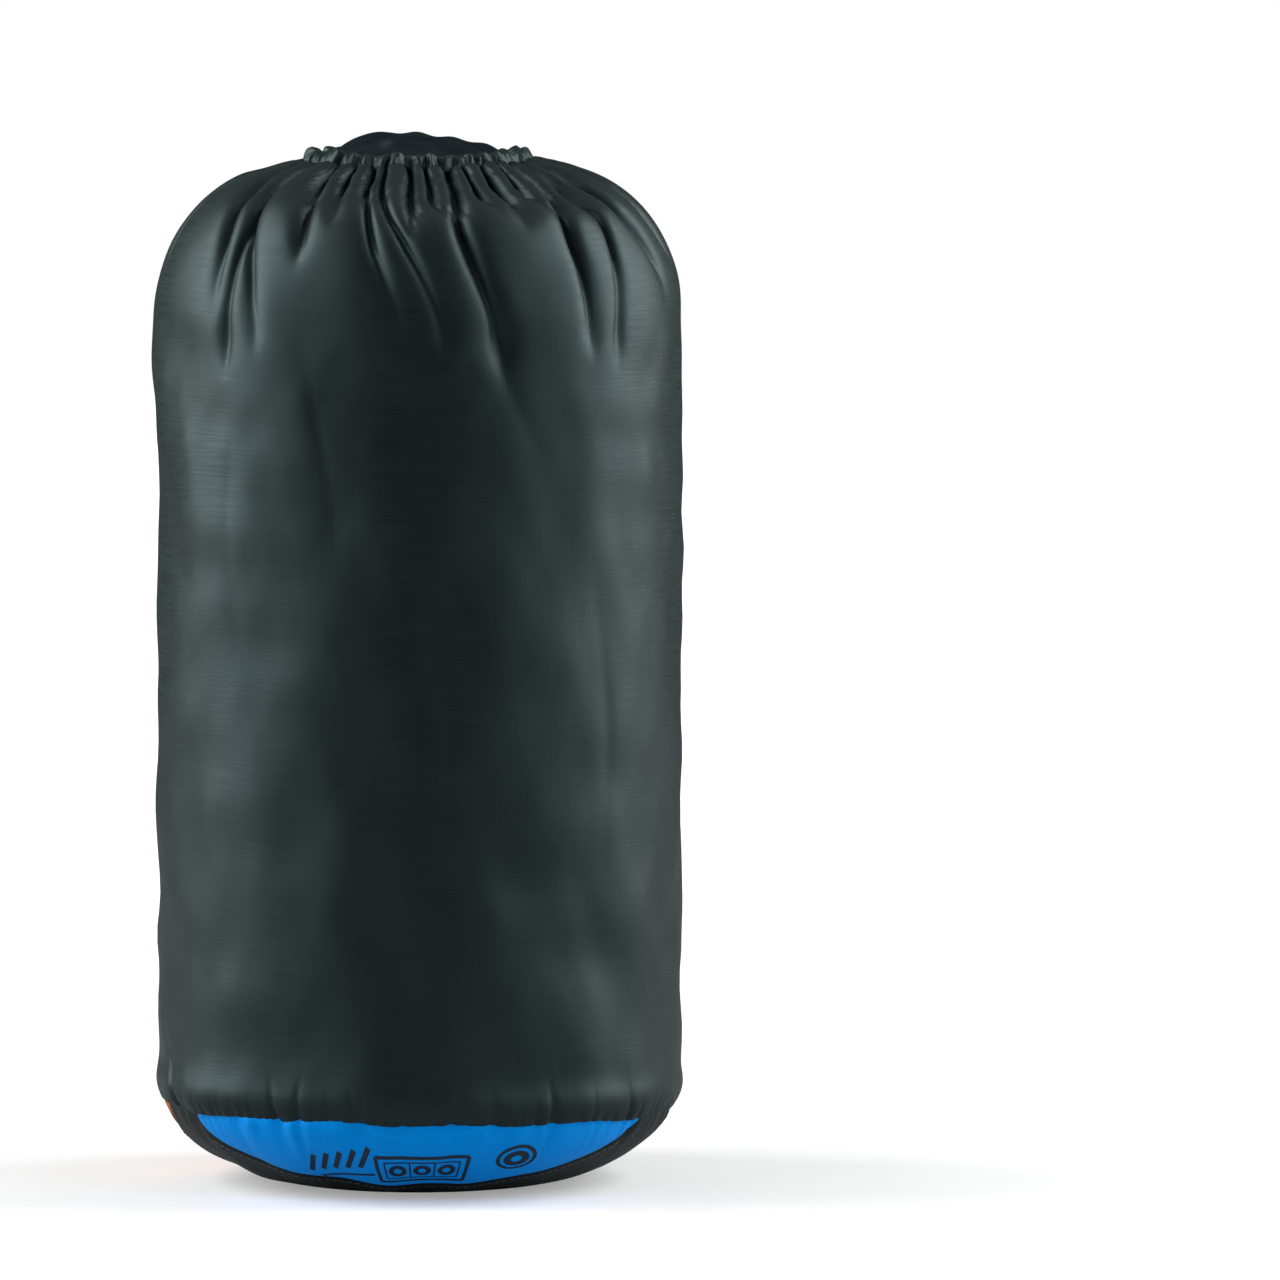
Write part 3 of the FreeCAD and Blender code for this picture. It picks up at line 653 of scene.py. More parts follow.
# The band's section from its lower edge up, over and down inside: how high (share of its height), how far
# it has closed in from the gathers' line to the cord's circle, how far it lies outside that (mm), and
# how much it is crumpled.
HEM_SECTION = (
    (-0.30, 0.0, 2.4, 0.2),
    (-0.16, 0.0, 2.5, 0.4),
    (0.00, 0.0, 2.2, 0.6),
    (0.16, 0.05, 1.8, 0.8),
    (0.34, 0.15, 1.4, 1.0),
    (0.52, 0.3, 1.0, 1.2),
    (0.70, 0.45, 0.6, 1.4),
    (0.85, 0.55, 0.1, 1.5),
    (0.95, 0.6, -0.4, 1.5),
    (1.00, 0.65, -1.0, 1.3),
    (0.96, 0.7, -1.7, 1.0),
    (0.84, 0.9, -2.8, 0.8),
    (0.64, 1.0, -3.8, 0.6),
    (0.30, 1.0, -4.4, 0.4),
    (-0.30, 1.0, -4.5, 0.3),
    (-0.95, 1.0, -4.2, 0.2),
)
HEM_HEIGHT = 4.3 * MM
HEM_GAP_HALF = 12.6 * MM


def hem_line(top_row):
    """The gathers' line without the gap behind, as angles, distances from the axis and heights."""
    line = top_row[:-1]
    around = np.arctan2(line[:, 0], -line[:, 1])
    kept = np.abs(wrapped(around - math.pi)) > math.asin(HEM_GAP_HALF / CORD_RING)
    line, around = line[kept], around[kept]
    return around, np.hypot(line[:, 0], line[:, 1]), line[:, 2]


def make_hem(top_row):
    """The drawcord channel: a doubled band bunched up on the cord, open behind where the cord comes out."""
    rng = np.random.default_rng(31)
    around, rho, level = hem_line(top_row)
    crest = np.clip((rho - smoothed(rho, 13)) / (1.3 * MM), -1, 1)
    level = smoothed(level, 8)
    tall = HEM_HEIGHT + 0.5 * MM * waves(rng, around, 0 * around, 9, (5, 19), (1, 2))
    tall = tall + (0.2 + 0.4 * np.exp(-((around / (60 * DEG)) ** 2))) * MM * crest
    tall = np.maximum(tall, CORD_LEVEL + CORD_RADIUS + 1.1 * MM - level)
    rise, closed, proud, crumple = np.array(HEM_SECTION).T
    over = np.linspace(0, 14 * MM, len(rise))
    wrinkles = waves(rng, around[:, None], over[None, :], 18, (18, 74), (9 * MM, 40 * MM))
    twist = waves(rng, around[:, None], over[None, :], 10, (6, 26), (12 * MM, 60 * MM))
    reach = rho[:, None] + (CORD_RING + 1.9 * MM - rho)[:, None] * closed
    reach = reach + proud * MM + 0.36 * MM * crumple * wrinkles
    turned = around[:, None] + 0.8 * DEG * crumple * twist
    points = cylindrical(np.maximum(reach, HEM_INSIDE), turned, level[:, None] + rise * tall[:, None])
    rows, columns = points.shape[:2]
    faces = grid_faces(rows, columns)
    piece = add_mesh("hem_band", points, [face[::-1] for face in faces])
    store_cloth(piece, *np.broadcast_arrays(travelled_along(points[:, 2])[:, None], over))
    return piece, points[:, 2] + np.array((0, 0, 0.1 * MM))


# ---------------------------------------------------------------- the base


def base_height(radius):
    """Height of the base's underside at a distance from the axis."""
    join = BASE_FLAT + BASE_ROUND * math.sin(SIDE_TILT)
    low = np.clip(radius - BASE_FLAT, 0, None)
    side = np.clip(radius - SIDE_CENTRE, 0, SIDE_ROUND)
    on_low = BASE_ROUND - np.sqrt(BASE_ROUND**2 - np.minimum(low, BASE_ROUND - MM) ** 2)
    on_side = SIDE_LEVEL - np.sqrt(SIDE_ROUND**2 - side**2)
    return np.where(radius < join, on_low, on_side)


def base_reach(height):
    """Distance from the axis of the base's flank at a height."""
    return SIDE_CENTRE + math.sqrt(SIDE_ROUND**2 - (SIDE_LEVEL - height) ** 2)


SEAM_REACH = base_reach(SEAM)
PANEL_LAP = 1.5 * DEG  # the coloured panels run on this far behind the seam at each end
RIM_IN, RIM_UP = 1.6 * MM, 3.0 * MM  # the base's hidden rim, behind the side panel
# Folds that run down from the base seam: degrees from the front, depth and half width in mm.
BASE_FOLDS = ((-31, 1.4, 2.4), (-62, 2.2, 4.5), (29, 1.1, 1.8), (9, 0.8, 3.0), (44, 0.9, 2.0))


def seam_edge(around):
    """Distance from the axis and height of the base seam, in a direction."""
    radius, height, _, _ = panel_curve(PANEL_LENGTH - seam_shift(around))
    return radius, height


def arc_reach(around, middle):
    """Distance from the axis to a coloured panel's inner edge, in a direction."""
    off = around - middle
    return PANEL_ARC_REACH * -np.cos(off) + np.sqrt(PANEL_ARC**2 - (PANEL_ARC_REACH * np.sin(off)) ** 2)


def panel_half_angle():
    """Half the angle that a coloured panel takes up along the seam."""
    return math.acos((PANEL_ARC**2 - PANEL_ARC_REACH**2 - SEAM_REACH**2) / (2 * PANEL_ARC_REACH * SEAM_REACH))


def base_surface(radius, around, recess=0.0):
    """Points of the base, with the seam's gathers and a few folds running a little way down it."""
    rng = np.random.default_rng(47)
    height = base_height(radius)
    below = np.clip(seam_edge(around)[1] - height, 0, None)
    ripples = waves(rng, around, 0 * radius, 16, (26, 70), (1, 2))
    folds = waves(rng, around, radius, 10, (6, 18), (30 * MM, 90 * MM))
    amount = 0.4 * MM * ripples * np.exp(-below / (8 * MM)) * smooth(below / (3 * MM))
    amount = amount + 0.3 * MM * folds * smooth(height / (6 * MM)) * smooth(below / (6 * MM))
    for turn, deep, wide in BASE_FOLDS:
        away = wrapped(around - turn * DEG - 0.9 * (SEAM_REACH - radius)) * radius / (wide * MM)
        fading = np.exp(-below / (9 * MM)) * smooth(height / (5 * MM))
        amount = amount - deep * MM * np.exp(-(away**2)) * fading
    amount = amount - np.interp(wrapped(around), PUCKER_TURNS, PUCKER_DEPTHS) * np.exp(-below / (7 * MM))
    amount = amount - 0.6 * MM * np.exp(-below / (1.5 * MM)) - recess
    tilt = np.arctan2(np.gradient(base_height(np.linspace(0, SEAM_REACH, 400))), SEAM_REACH / 399)
    lean = np.interp(radius, np.linspace(0, SEAM_REACH, 400), tilt)
    level = np.maximum(height - amount * np.cos(lean), 0.05 * MM)
    return cylindrical(radius + amount * np.sin(lean), around, level)


def edge_recess(share, span):
    """The cloth dips into the seam groove within a millimetre or so of a panel's inner edge."""
    return 0.75 * MM * np.exp(-((share * span / (1.1 * MM)) ** 2))


def hidden_rim(edge):
    """A row that runs up from the base's edge, behind the side panel's turned-in edge."""
    rim = edge.copy()
    rim[:, :2] *= (1 - RIM_IN / np.hypot(rim[:, 0], rim[:, 1]))[:, None]
    rim[:, 2] += RIM_UP
    return rim


def make_crescent(name, middle):
    """A coloured panel of the base, between the base seam and its own arc."""
    half = panel_half_angle() + PANEL_LAP
    swing = half * np.sin(np.linspace(-1, 1, 181) * math.pi / 2)
    share = np.concatenate([[0, 0.008, 0.02, 0.04], np.linspace(0.07, 1, 30)])
    around = middle + swing
    outer = seam_edge(around)[0]
    inner = np.minimum(arc_reach(around, middle), outer)
    radius = inner[None, :] + share[:, None] * (outer - inner)[None, :]
    recess = edge_recess(share[:, None], (outer - inner)[None, :] + 0.2 * MM)
    points = base_surface(radius, np.broadcast_to(around, radius.shape), recess)
    points = points[::-1]
    rim = hidden_rim(points[0])
    points = np.concatenate([rim[None], 0.5 * (rim + points[0])[None], points])
    piece = add_mesh(name, points, grid_faces(*points.shape[:2]))
    store_cloth(piece, points[..., 0], points[..., 1])
    return piece


def make_base_main():
    """The dark panel of the base: the disc that the two coloured panels leave."""
    around = np.linspace(-math.pi, math.pi, 480, endpoint=False)
    outer = seam_edge(around)[0]
    reach = outer
    for middle in (0.0, REAR_PANEL_TURN):
        inside = np.cos(around - middle) > math.cos(panel_half_angle() + PANEL_LAP)
        reach = np.where(inside, np.minimum(reach, arc_reach(around, middle)), reach)
    share = np.concatenate([[1, 0.992, 0.98, 0.965], np.linspace(0.94, 0.02, 44)])
    radius = share[:, None] * reach[None, :]
    at_seam = (reach > outer - 0.01 * MM)[None, :]
    recess = np.where(at_seam, 0.0, edge_recess(1 - share[:, None], reach[None, :]))
    points = base_surface(radius, np.broadcast_to(around, radius.shape), recess)
    points = np.concatenate([hidden_rim(points[0])[None], points])
    rows, columns = points.shape[:2]
    faces = grid_faces(rows, columns, close_columns=True)
    faces += fan((rows - 1) * columns, columns, rows * columns)
    flat = np.concatenate([points.reshape(-1, 3), [[0, 0, 0.05 * MM]]])
    piece = add_mesh("base_cloth", flat, faces)
    store_cloth(piece, flat[:, 0], flat[:, 1])
    return piece


def marked_surface(across, out, lift):
    """Points a little above the front panel, from mm to the right of its middle and out from the axis."""
    radius = np.asarray(out, float) * MM
    around = np.asarray(across, float) * MM / (88 * MM)
    points = base_surface(radius, around)
    below = base_surface(radius - 0.2 * MM, around)
    side = base_surface(radius, around + 0.002)
    normal = np.cross(below - points, side - points)
    normal /= np.linalg.norm(normal, axis=-1, keepdims=True)
    return points + lift * normal


def bar(start, end, wide, steps=10):
    """A straight printed stroke, as a grid of points across and out."""
    start, end = np.array(start, float), np.array(end, float)
    ahead = (end - start) / np.linalg.norm(end - start)
    side = np.array((-ahead[1], ahead[0])) * wide / 2
    middle = start + (end - start) * np.linspace(0, 1, steps)[:, None]
    return np.stack([middle - side, middle, middle + side])


def ring(centre, radius, wide, flat=1.0, steps=28):
    turn = np.linspace(0, FULL_TURN, steps)
    spoke = np.stack([np.cos(turn), flat * np.sin(turn)], -1)
    sizes = np.array((radius - wide, radius - wide / 2, radius))[:, None, None]
    return np.array(centre, float) + sizes * spoke


def frame_strokes(left, right, low, high, wide):
    return [
        bar((left, low), (right, low), wide, 24),
        bar((right, low), (right, high), wide),
        bar((right, high), (left, high), wide, 24),
        bar((left, high), (left, low), wide),
    ]


def make_prints():
    """Plain marks in the places of the real maker's prints: bars, cells and a round badge."""
    strokes = [bar((-44 + 5.5 * k, 86 + 0.8 * k), (-39 + 5.5 * k, 95 + 0.8 * k), 2.0) for k in range(5)]
    strokes += [bar((-42, 81.5), (-17, 85), 1.4, 20)]
    strokes += frame_strokes(-15, 20, 80, 95, 1.5)
    strokes += frame_strokes(-12, 17, 82.5, 92.5, 0.7)
    strokes += [bar((-2.3, 82.5), (-2.3, 92.5), 0.7), bar((7.4, 82.5), (7.4, 92.5), 0.7)]
    strokes += [ring((x, 87.5), 3.6, 2.0) for x in (-7.2, 2.5, 12.2)]
    strokes += [ring((39, 93), 8.2, 1.6, 0.7), ring((39, 93), 5.2, 3.0, 0.7)]
    points, faces, count = [], [], 0
    for stroke in strokes:
        rows, columns = stroke.shape[:2]
        points.append(marked_surface(stroke[..., 0], stroke[..., 1], 0.16 * MM).reshape(-1, 3))
        faces += [[corner + count for corner in face] for face in grid_faces(rows, columns)]
        count += rows * columns
    return add_mesh("base_prints", np.concatenate(points), faces)


# ---------------------------------------------------------------- stitches


def place_stitches(name, line, pitch, long, thick):
    """A row of short thread stitches along a line of points, each a small spindle lying on the cloth."""
    travelled = travelled_along(line)
    starts = np.arange(pitch / 2, travelled[-1] - long, pitch)
    along = np.array((0.0, 0.12, 0.5, 0.88, 1.0))
    fat = np.array((0.25, 0.8, 1.0, 0.8, 0.25)) * thick
    turn = np.arange(6) * FULL_TURN / 6
    points, faces = [], []
    for number, start in enumerate(starts):
        middle = np.stack([np.interp(start + along * long, travelled, line[:, k]) for k in range(3)], -1)
        ahead = middle[-1] - middle[0]
        ahead /= np.linalg.norm(ahead)
        side = np.cross(ahead, (0.3, 0.2, 0.93))
        side /= np.linalg.norm(side)
        up = np.cross(side, ahead)
        spokes = np.cos(turn)[:, None] * side + np.sin(turn)[:, None] * up
        points.append((middle[:, None] + fat[:, None, None] * spokes[None]).reshape(-1, 3))
        first = number * 30
        faces += [[corner + first for corner in face] for face in grid_faces(5, 6, close_columns=True)]
        faces += [[first + k for k in range(6)], [first + 29 - k for k in range(6)]]
    return add_mesh(name, np.concatenate(points), faces)


def arc_stitch_line(middle):
    half = panel_half_angle() - 2.5 * DEG
    around = middle + np.linspace(-half, half, 200)
    return base_surface(arc_reach(around, middle) - 2.6 * MM, around)


def make_back_tape():
    """The tape over the back seam's allowances, inside the sack."""
    low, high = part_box("back_seam_tape")
    across = np.linspace(low.x, high.x, 9)
    height = np.linspace(high.z, low.z + 4 * MM, 60)
    points = np.stack(np.broadcast_arrays(across[None, :], low.y + 0.8 * MM, height[:, None]), -1)
    return add_mesh("back_tape", points, grid_faces(60, 9))


def make_seam_tape():
    """The binding over the base seam's allowances, inside the sack."""
    around = np.linspace(-math.pi, math.pi, 240, endpoint=False)
    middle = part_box("base_seam_binding")[1].z
    rings = [cylindrical(97 * MM, around, middle + rise * MM) for rise in (-5, 0, 5)]
    return add_mesh("base_seam_tape", np.stack(rings[::-1]), grid_faces(3, 240, close_columns=True))


def back_seam_lines(points):
    """Two lines of stitches down the back seam, below the hollow for the cord lock."""
    first = ROWS_FINE + 2
    return [points[first:-6, column] * (1.0004, 1.0004, 1) for column in (2, -3)]


# ---------------------------------------------------------------- the mouth


def dome_height(x, y):
    """The flap's dome, as high and as wide as in the frame, steeper at the left with its crown that side."""
    centre = FLAP_HIGH.z - FLAP_BALL + 0.6 * MM
    inner = 1 - np.clip(np.hypot(x, y) / (37 * MM), 0, 1) ** 4
    shift = 11 * MM * inner * np.exp(-((np.hypot(x + 9 * MM, y) / (26 * MM)) ** 2))
    return centre + np.sqrt(FLAP_BALL**2 - (x + shift) ** 2 - y**2)


def flap_folds(x, y):
    """Soft folds of the flap, with one long fold from the left over the middle."""
    rng = np.random.default_rng(61)
    total = 0 * x
    for _ in range(14):
        heading = rng.uniform(0, FULL_TURN)
        pitch = FULL_TURN / rng.uniform(13 * MM, 34 * MM)
        total += np.cos(pitch * (x * math.cos(heading) + y * math.sin(heading)) + rng.uniform(0, FULL_TURN))
    across_fold = y + 24 * MM + 0.35 * (x + 5 * MM) + 9.0 * (x + 5 * MM) ** 2
    fold = np.exp(-((across_fold / (3.2 * MM)) ** 2)) * smooth((18 * MM - np.abs(x + 6 * MM)) / (14 * MM))
    return 0.26 * MM * total + 1.7 * MM * fold


FLAP_RINGS = 48
FLAP_SPOKES = 180


def make_flap():
    """The dust flap: one domed sheet, hinged on the strip that is sewn to the channel behind."""
    around = np.linspace(-math.pi, math.pi, FLAP_SPOKES, endpoint=False)
    share = np.linspace(0, 1, FLAP_RINGS + 1)[1:]
    behind = smooth((-np.cos(around) * 36 * MM - 20 * MM) / (9 * MM))
    edge = FLAP_HIGH.x + 0.4 * MM + 2.6 * MM * behind
    x = share[:, None] * (edge * np.sin(around))[None, :]
    y = -share[:, None] * (edge * np.cos(around))[None, :]
    puckers = 0.25 * MM * waves(np.random.default_rng(67), around, 0 * around, 8, (14, 34), (1, 2))
    height = dome_height(x, y) + flap_folds(x, y) * (1 - share[:, None] ** 6) + puckers * share[:, None] ** 6
    points = np.stack([x, y, height], -1)[::-1]
    rows, columns = points.shape[:2]
    faces = grid_faces(rows, columns, close_columns=True)
    faces += fan((rows - 1) * columns, columns, rows * columns)
    top = [[0, 0, float(dome_height(0.0, 0.0) + flap_folds(np.zeros(1), np.zeros(1))[0])]]
    flat = np.concatenate([points.reshape(-1, 3), top])
    piece = add_mesh("flap_cloth", flat, [face[::-1] for face in faces])
    store_cloth(piece, flat[:, 0], flat[:, 1])
    return piece, points[0]


def make_flap_binding(edge):
    """Bound edge of the flap in front of its hinge line."""
    kept = edge[edge[:, 1] < HINGE.y - 0.4 * MM]
    kept = kept[np.argsort(np.arctan2(kept[:, 0], -kept[:, 1]))]
    turn = np.arange(12) * FULL_TURN / 12
    beside, above = 0.75 * MM * np.cos(turn), (1.15 * np.sin(turn) - 0.2) * MM
    piece = tube_mesh("flap_edge_tape", kept, beside[None], above[None])
    store_cloth(piece, *np.broadcast_arrays(travelled_along(kept)[:, None], turn[None] * MM))
    return piece


def contents_outline():
    """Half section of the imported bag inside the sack, from the mound in the mouth down to the base."""
    mound = np.linspace(0, 33.4, 26)[1:]
    crown = (FLAP_HIGH.z - FLAP_BALL) / MM + np.sqrt(70.0**2 - mound**2)
    neck = np.array(((34.2, 409.0), (34.6, 403.0), (36.0, 397.0), (40.0, 394.5)))
    lean = np.linspace(5, 90, 22) * DEG
    shoulder = np.stack([46.5 + 47 * np.sin(lean), 346 + 47 * np.cos(lean)], -1)
    flank = np.stack([np.full(12, 93.5), np.linspace(325, 62, 12)], -1)
    tuck = np.linspace(80, 5, 14) * DEG
    under = np.stack([45.2 + 48.3 * np.sin(tuck), 62 - 57 * np.cos(tuck)], -1)
    return np.concatenate([np.stack([mound, crown], -1), neck, shoulder, flank, under]) * MM


def make_contents():
    """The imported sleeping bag: its shell shows in the mouth under the flap, creased where it is pushed in."""
    outline = contents_outline()
    around = np.linspace(-math.pi, math.pi, 160, endpoint=False)
    rng = np.random.default_rng(71)
    rho, level = outline[:, :1], outline[:, 1:]
    creased = np.abs(waves(rng, around[None, :], 9 * rho, 12, (3, 11), (60 * MM, 240 * MM)))
    creased = creased * np.abs(waves(rng, around[None, :], rho, 10, (2, 9), (18 * MM, 50 * MM)))
    in_mouth = (level > 402 * MM) * (rho < 34.0 * MM) * smooth(rho / (17 * MM))
    drop = 0.9 * MM * np.minimum(creased, 2.0) * in_mouth
    points = cylindrical(rho + 0 * around[None, :], around[None, :], level - drop)
    rows, columns = points.shape[:2]
    top, bottom = rows * columns, rows * columns + 1
    faces = grid_faces(rows, columns, close_columns=True)
    faces += [[top, (k + 1) % columns, k] for k in range(columns)]
    faces += fan((rows - 1) * columns, columns, bottom)
    ends = [[0, 0, FLAP_HIGH.z - 3.0 * MM], [0, 0, points[-1, 0, 2]]]
    return add_mesh("packed_bag", np.concatenate([points.reshape(-1, 3), ends]), faces)


# ---------------------------------------------------------------- cord and knot


def cord_route():
    """Middle line of the drawcord: up one leg, round in the channel, and down the other leg."""
    across = CORD_OFFSET + CORD_BEND
    behind = math.sqrt((CORD_RING + CORD_BEND) ** 2 - across**2)
    along = np.arange(0.3 * MM, LEG_LENGTH + 1.5 * MM, 0.4 * MM)
    leg_y = LEG_START.y + along * math.cos(LEG_SLOPE)
    leg = np.stack([CORD_OFFSET + 0 * along, leg_y, LEG_START.z - along * math.sin(LEG_SLOPE)], -1)
    slope = np.linspace(0, LEG_SLOPE, 8)
    bend_z = CORD_LEVEL - LEG_BEND * (1 - np.cos(slope))
    bend = np.stack([CORD_OFFSET + 0 * slope, behind + LEG_BEND * np.sin(slope), bend_z], -1)
    turn = np.linspace(math.pi, math.pi + math.atan2(behind, across), 28)[1:]
    turn_x, turn_y = across + CORD_BEND * np.cos(turn), behind + CORD_BEND * np.sin(turn)
    turned = np.stack([turn_x, turn_y, CORD_LEVEL + 0 * turn], -1)
    right = np.concatenate([leg[::-1], bend[::-1], turned])
    end = math.pi - math.atan2(across, behind)
    channel = cylindrical(CORD_RING, np.linspace(end, -end, 640)[1:-1], CORD_LEVEL)
    return np.concatenate([right, channel, right[::-1] * (-1, 1, 1)])


def round_tube(name, line, size, hint, closed):
    """A round tube along a line; size holds its radius at every point of every ring."""
    turn = np.arange(size.shape[1]) * FULL_TURN / size.shape[1]
    return tube_mesh(name, line, size * np.cos(turn), size * np.sin(turn), hint, closed)


def rope_mesh(name, line, radius, hint, closed, strands=8, lay=5.5):
    """A braided cord: its surface rises where the strands pass over each other."""
    turn = np.arange(20) * FULL_TURN / 20
    twist = travelled_along(line)[:, None] / (lay * radius) * FULL_TURN
    braid = np.cos(strands / 2 * turn + twist) * np.cos(strands / 2 * turn - twist)
    return round_tube(name, line, radius * (0.93 + 0.06 * braid), hint, closed)


def make_spring():
    """The coil between the closed end of the lock's bore and the plunger."""
    low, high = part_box("cord_lock_spring")
    middle = (low + high) / 2
    turn = np.linspace(0, SPRING_TURNS * FULL_TURN, 150)
    along = np.linspace(low.x + SPRING_WIRE, high.x - SPRING_WIRE - 0.2 * MM, 150)
    coil = (high.z - low.z) / 2 - SPRING_WIRE
    line = np.stack([along, middle.y + coil * np.cos(turn), middle.z + coil * np.sin(turn)], -1)
    return round_tube("lock_spring", line, np.full((150, 10), SPRING_WIRE), (1, 0, 0), closed=False)


def make_knot():
    """The knot that ties the two cord ends together."""
    low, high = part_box("drawcord_knot")
    centre = np.array((low + high) / 2)
    t = np.linspace(0, FULL_TURN, 260, endpoint=False)
    span = 0.86 * MM
    local = np.stack([
        (2.05 + np.cos(3 * t)) * np.cos(2 * t),
        (2.05 + np.cos(3 * t)) * np.sin(2 * t),
        1.55 * np.sin(3 * t),
    ], -1) * span
    tilt = math.radians(70)
    turned = local.copy()
    turned[:, 1] = local[:, 1] * math.cos(tilt) - local[:, 2] * math.sin(tilt)
    turned[:, 2] = local[:, 1] * math.sin(tilt) + local[:, 2] * math.cos(tilt)
    line = centre + turned
    return rope_mesh("cord_knot", line, CORD_RADIUS, line - line.mean(0), closed=True)


# ---------------------------------------------------------------- materials


def new_node(tree, kind, sockets=(), **settings):
    """Add a node, set its own settings, and then fill its sockets with values or links."""
    node = tree.nodes.new(kind)
    for name, value in settings.items():
        setattr(node, name, value)
    for key, value in dict(sockets).items():
        if isinstance(value, bpy.types.NodeSocket):
            tree.links.new(value, node.inputs[key])
        else:
            node.inputs[key].default_value = value
    return node


def new_material(name, roughness, **constants):
    material = bpy.data.materials.new(name)
    material.use_nodes = True
    tree = material.node_tree
    shader = tree.nodes["Principled BSDF"]
    shader.inputs["Roughness"].default_value = roughness
    for socket, value in constants.items():
        shader.inputs[socket.replace("_", " ")].default_value = value
    return material, tree, shader


def on_object(tree):
    return new_node(tree, "ShaderNodeTexCoord").outputs["Object"]


def noise(tree, place, scale, detail):
    sockets = {"Vector": place, "Scale": scale, "Detail": detail}
    return new_node(tree, "ShaderNodeTexNoise", sockets).outputs["Fac"]


def streaks(tree, place, sizes, detail=2.0):
    """Noise drawn out into streaks: sizes are its length across the cloth and along it, in millimetres."""
    scale = [1 / (size * MM) for size in sizes]
    sockets = {0: place, 1: (*scale, scale[0])}
    stretched = new_node(tree, "ShaderNodeVectorMath", sockets, operation="MULTIPLY")
    return noise(tree, stretched.outputs[0], 1.0, detail)


def add_relief(tree, shader, height, strength, depth):
    sockets = {"Strength": strength, "Distance": depth, "Height": height}
    tree.links.new(new_node(tree, "ShaderNodeBump", sockets).outputs["Normal"], shader.inputs["Normal"])


def remapped(tree, value, low, high, start=0.3, end=0.7):
    sockets = {"Value": value, "From Min": start, "From Max": end, "To Min": low, "To Max": high}
    return new_node(tree, "ShaderNodeMapRange", sockets).outputs["Result"]


def mixed(tree, share, first, second):
    node = new_node(tree, "ShaderNodeMix", {"Factor": share}, data_type="RGBA")
    colours = [socket for socket in node.inputs if socket.type == "RGBA"]
    for socket, value in zip(colours, (first, second)):
        if isinstance(value, bpy.types.NodeSocket):
            tree.links.new(value, socket)
        else:
            socket.default_value = (*value, 1)
    return next(socket for socket in node.outputs if socket.type == "RGBA")


def added(tree, first, second, scale=1.0):
    node = new_node(tree, "ShaderNodeMath", {0: second, 1: scale, 2: first}, operation="MULTIPLY_ADD")
    return node.outputs[0]


def nylon(name, dark, light, tint, roughness=0.46, on_cloth=True, glow=0.0):
    """Downproof nylon with a satin face: fine slubs across, fainter ones along, and a slightly uneven dye.

    glow: light that the cloth gives off, which real cloth doesn't. It lifts a colour to the photo's brightness.
    """
    material, tree, shader = new_material(
        name,
        roughness,
        Specular_Tint=(*tint, 1),
        Sheen_Weight=0.03,
        Sheen_Roughness=0.4,
        Sheen_Tint=(*tint, 1),
    )
    shader.inputs["Emission Color"].default_value = (*light, 1)
    shader.inputs["Emission Strength"].default_value = glow
    if on_cloth:
        place = new_node(tree, "ShaderNodeAttribute", attribute_name="cloth").outputs["Vector"]
    else:
        place = on_object(tree)
    slubs = streaks(tree, place, (26, 0.9))
    ends = streaks(tree, place, (0.8, 34))
    fine = streaks(tree, place, (5, 0.35), 1.0)
    cloud = noise(tree, on_object(tree), 16.0, 3.0)
    dye = mixed(tree, remapped(tree, cloud, 0.25, 0.75), dark, light)
    thread = remapped(tree, added(tree, slubs, ends, 0.6), 0.86, 1.12, 0.55, 1.05)
    shade = new_node(tree, "ShaderNodeVectorMath", {0: dye, "Scale": thread}, operation="SCALE").outputs[0]
    tree.links.new(shade, shader.inputs["Base Color"])
    tree.links.new(remapped(tree, slubs, roughness - 0.05, roughness + 0.06), shader.inputs["Roughness"])
    relief = added(tree, added(tree, slubs, ends, 0.6), fine, 0.5)
    add_relief(tree, shader, relief, 0.35, 0.12 * MM)
    return material


def woven(name, dark, light, pitch=0.7):
    """Woven tape or braided cord: crossing ribs with a dull face."""
    material, tree, shader = new_material(name, 0.7, Sheen_Weight=0.05, Sheen_Roughness=0.5)
    place = on_object(tree)
    ribs = []
    scale = 1 / (pitch * MM * FULL_TURN) * 2
    for direction in ("X", "Y", "Z"):
        sockets = {"Vector": place, "Scale": scale, "Distortion": 0.6, "Detail": 1.0}
        ribs.append(new_node(tree, "ShaderNodeTexWave", sockets, bands_direction=direction).outputs["Fac"])
    weave = added(tree, added(tree, ribs[0], ribs[1]), ribs[2])
    cloud = noise(tree, place, 180.0, 3.0)
    share = remapped(tree, added(tree, weave, cloud, 1.5), 0.0, 1.0, 0.8, 3.2)
    tree.links.new(mixed(tree, share, dark, light), shader.inputs["Base Color"])
    add_relief(tree, shader, weave, 0.6, 0.15 * MM)
    return material


def moulded(name, dark, light, roughness):
    """Moulded plastic with a fine spark-eroded grain and slightly rubbed patches."""
    material, tree, shader = new_material(name, roughness)
    place = on_object(tree)
    grain = noise(tree, place, 2600.0, 2.0)
    rub = noise(tree, place, 220.0, 4.0)
    tree.links.new(mixed(tree, remapped(tree, rub, 0, 1), dark, light), shader.inputs["Base Color"])
    tree.links.new(remapped(tree, rub, roughness - 0.08, roughness + 0.1), shader.inputs["Roughness"])
    add_relief(tree, shader, grain, 0.35, 0.05 * MM)
    return material


def spring_wire():
    material, tree, shader = new_material("spring_wire", 0.3, Metallic=1.0)
    drawn = noise(tree, on_object(tree), 900.0, 2.0)
    shades = mixed(tree, remapped(tree, drawn, 0, 1), (0.45, 0.45, 0.47), (0.7, 0.7, 0.72))
    tree.links.new(shades, shader.inputs["Base Color"])
    tree.links.new(remapped(tree, drawn, 0.22, 0.42), shader.inputs["Roughness"])
    return material


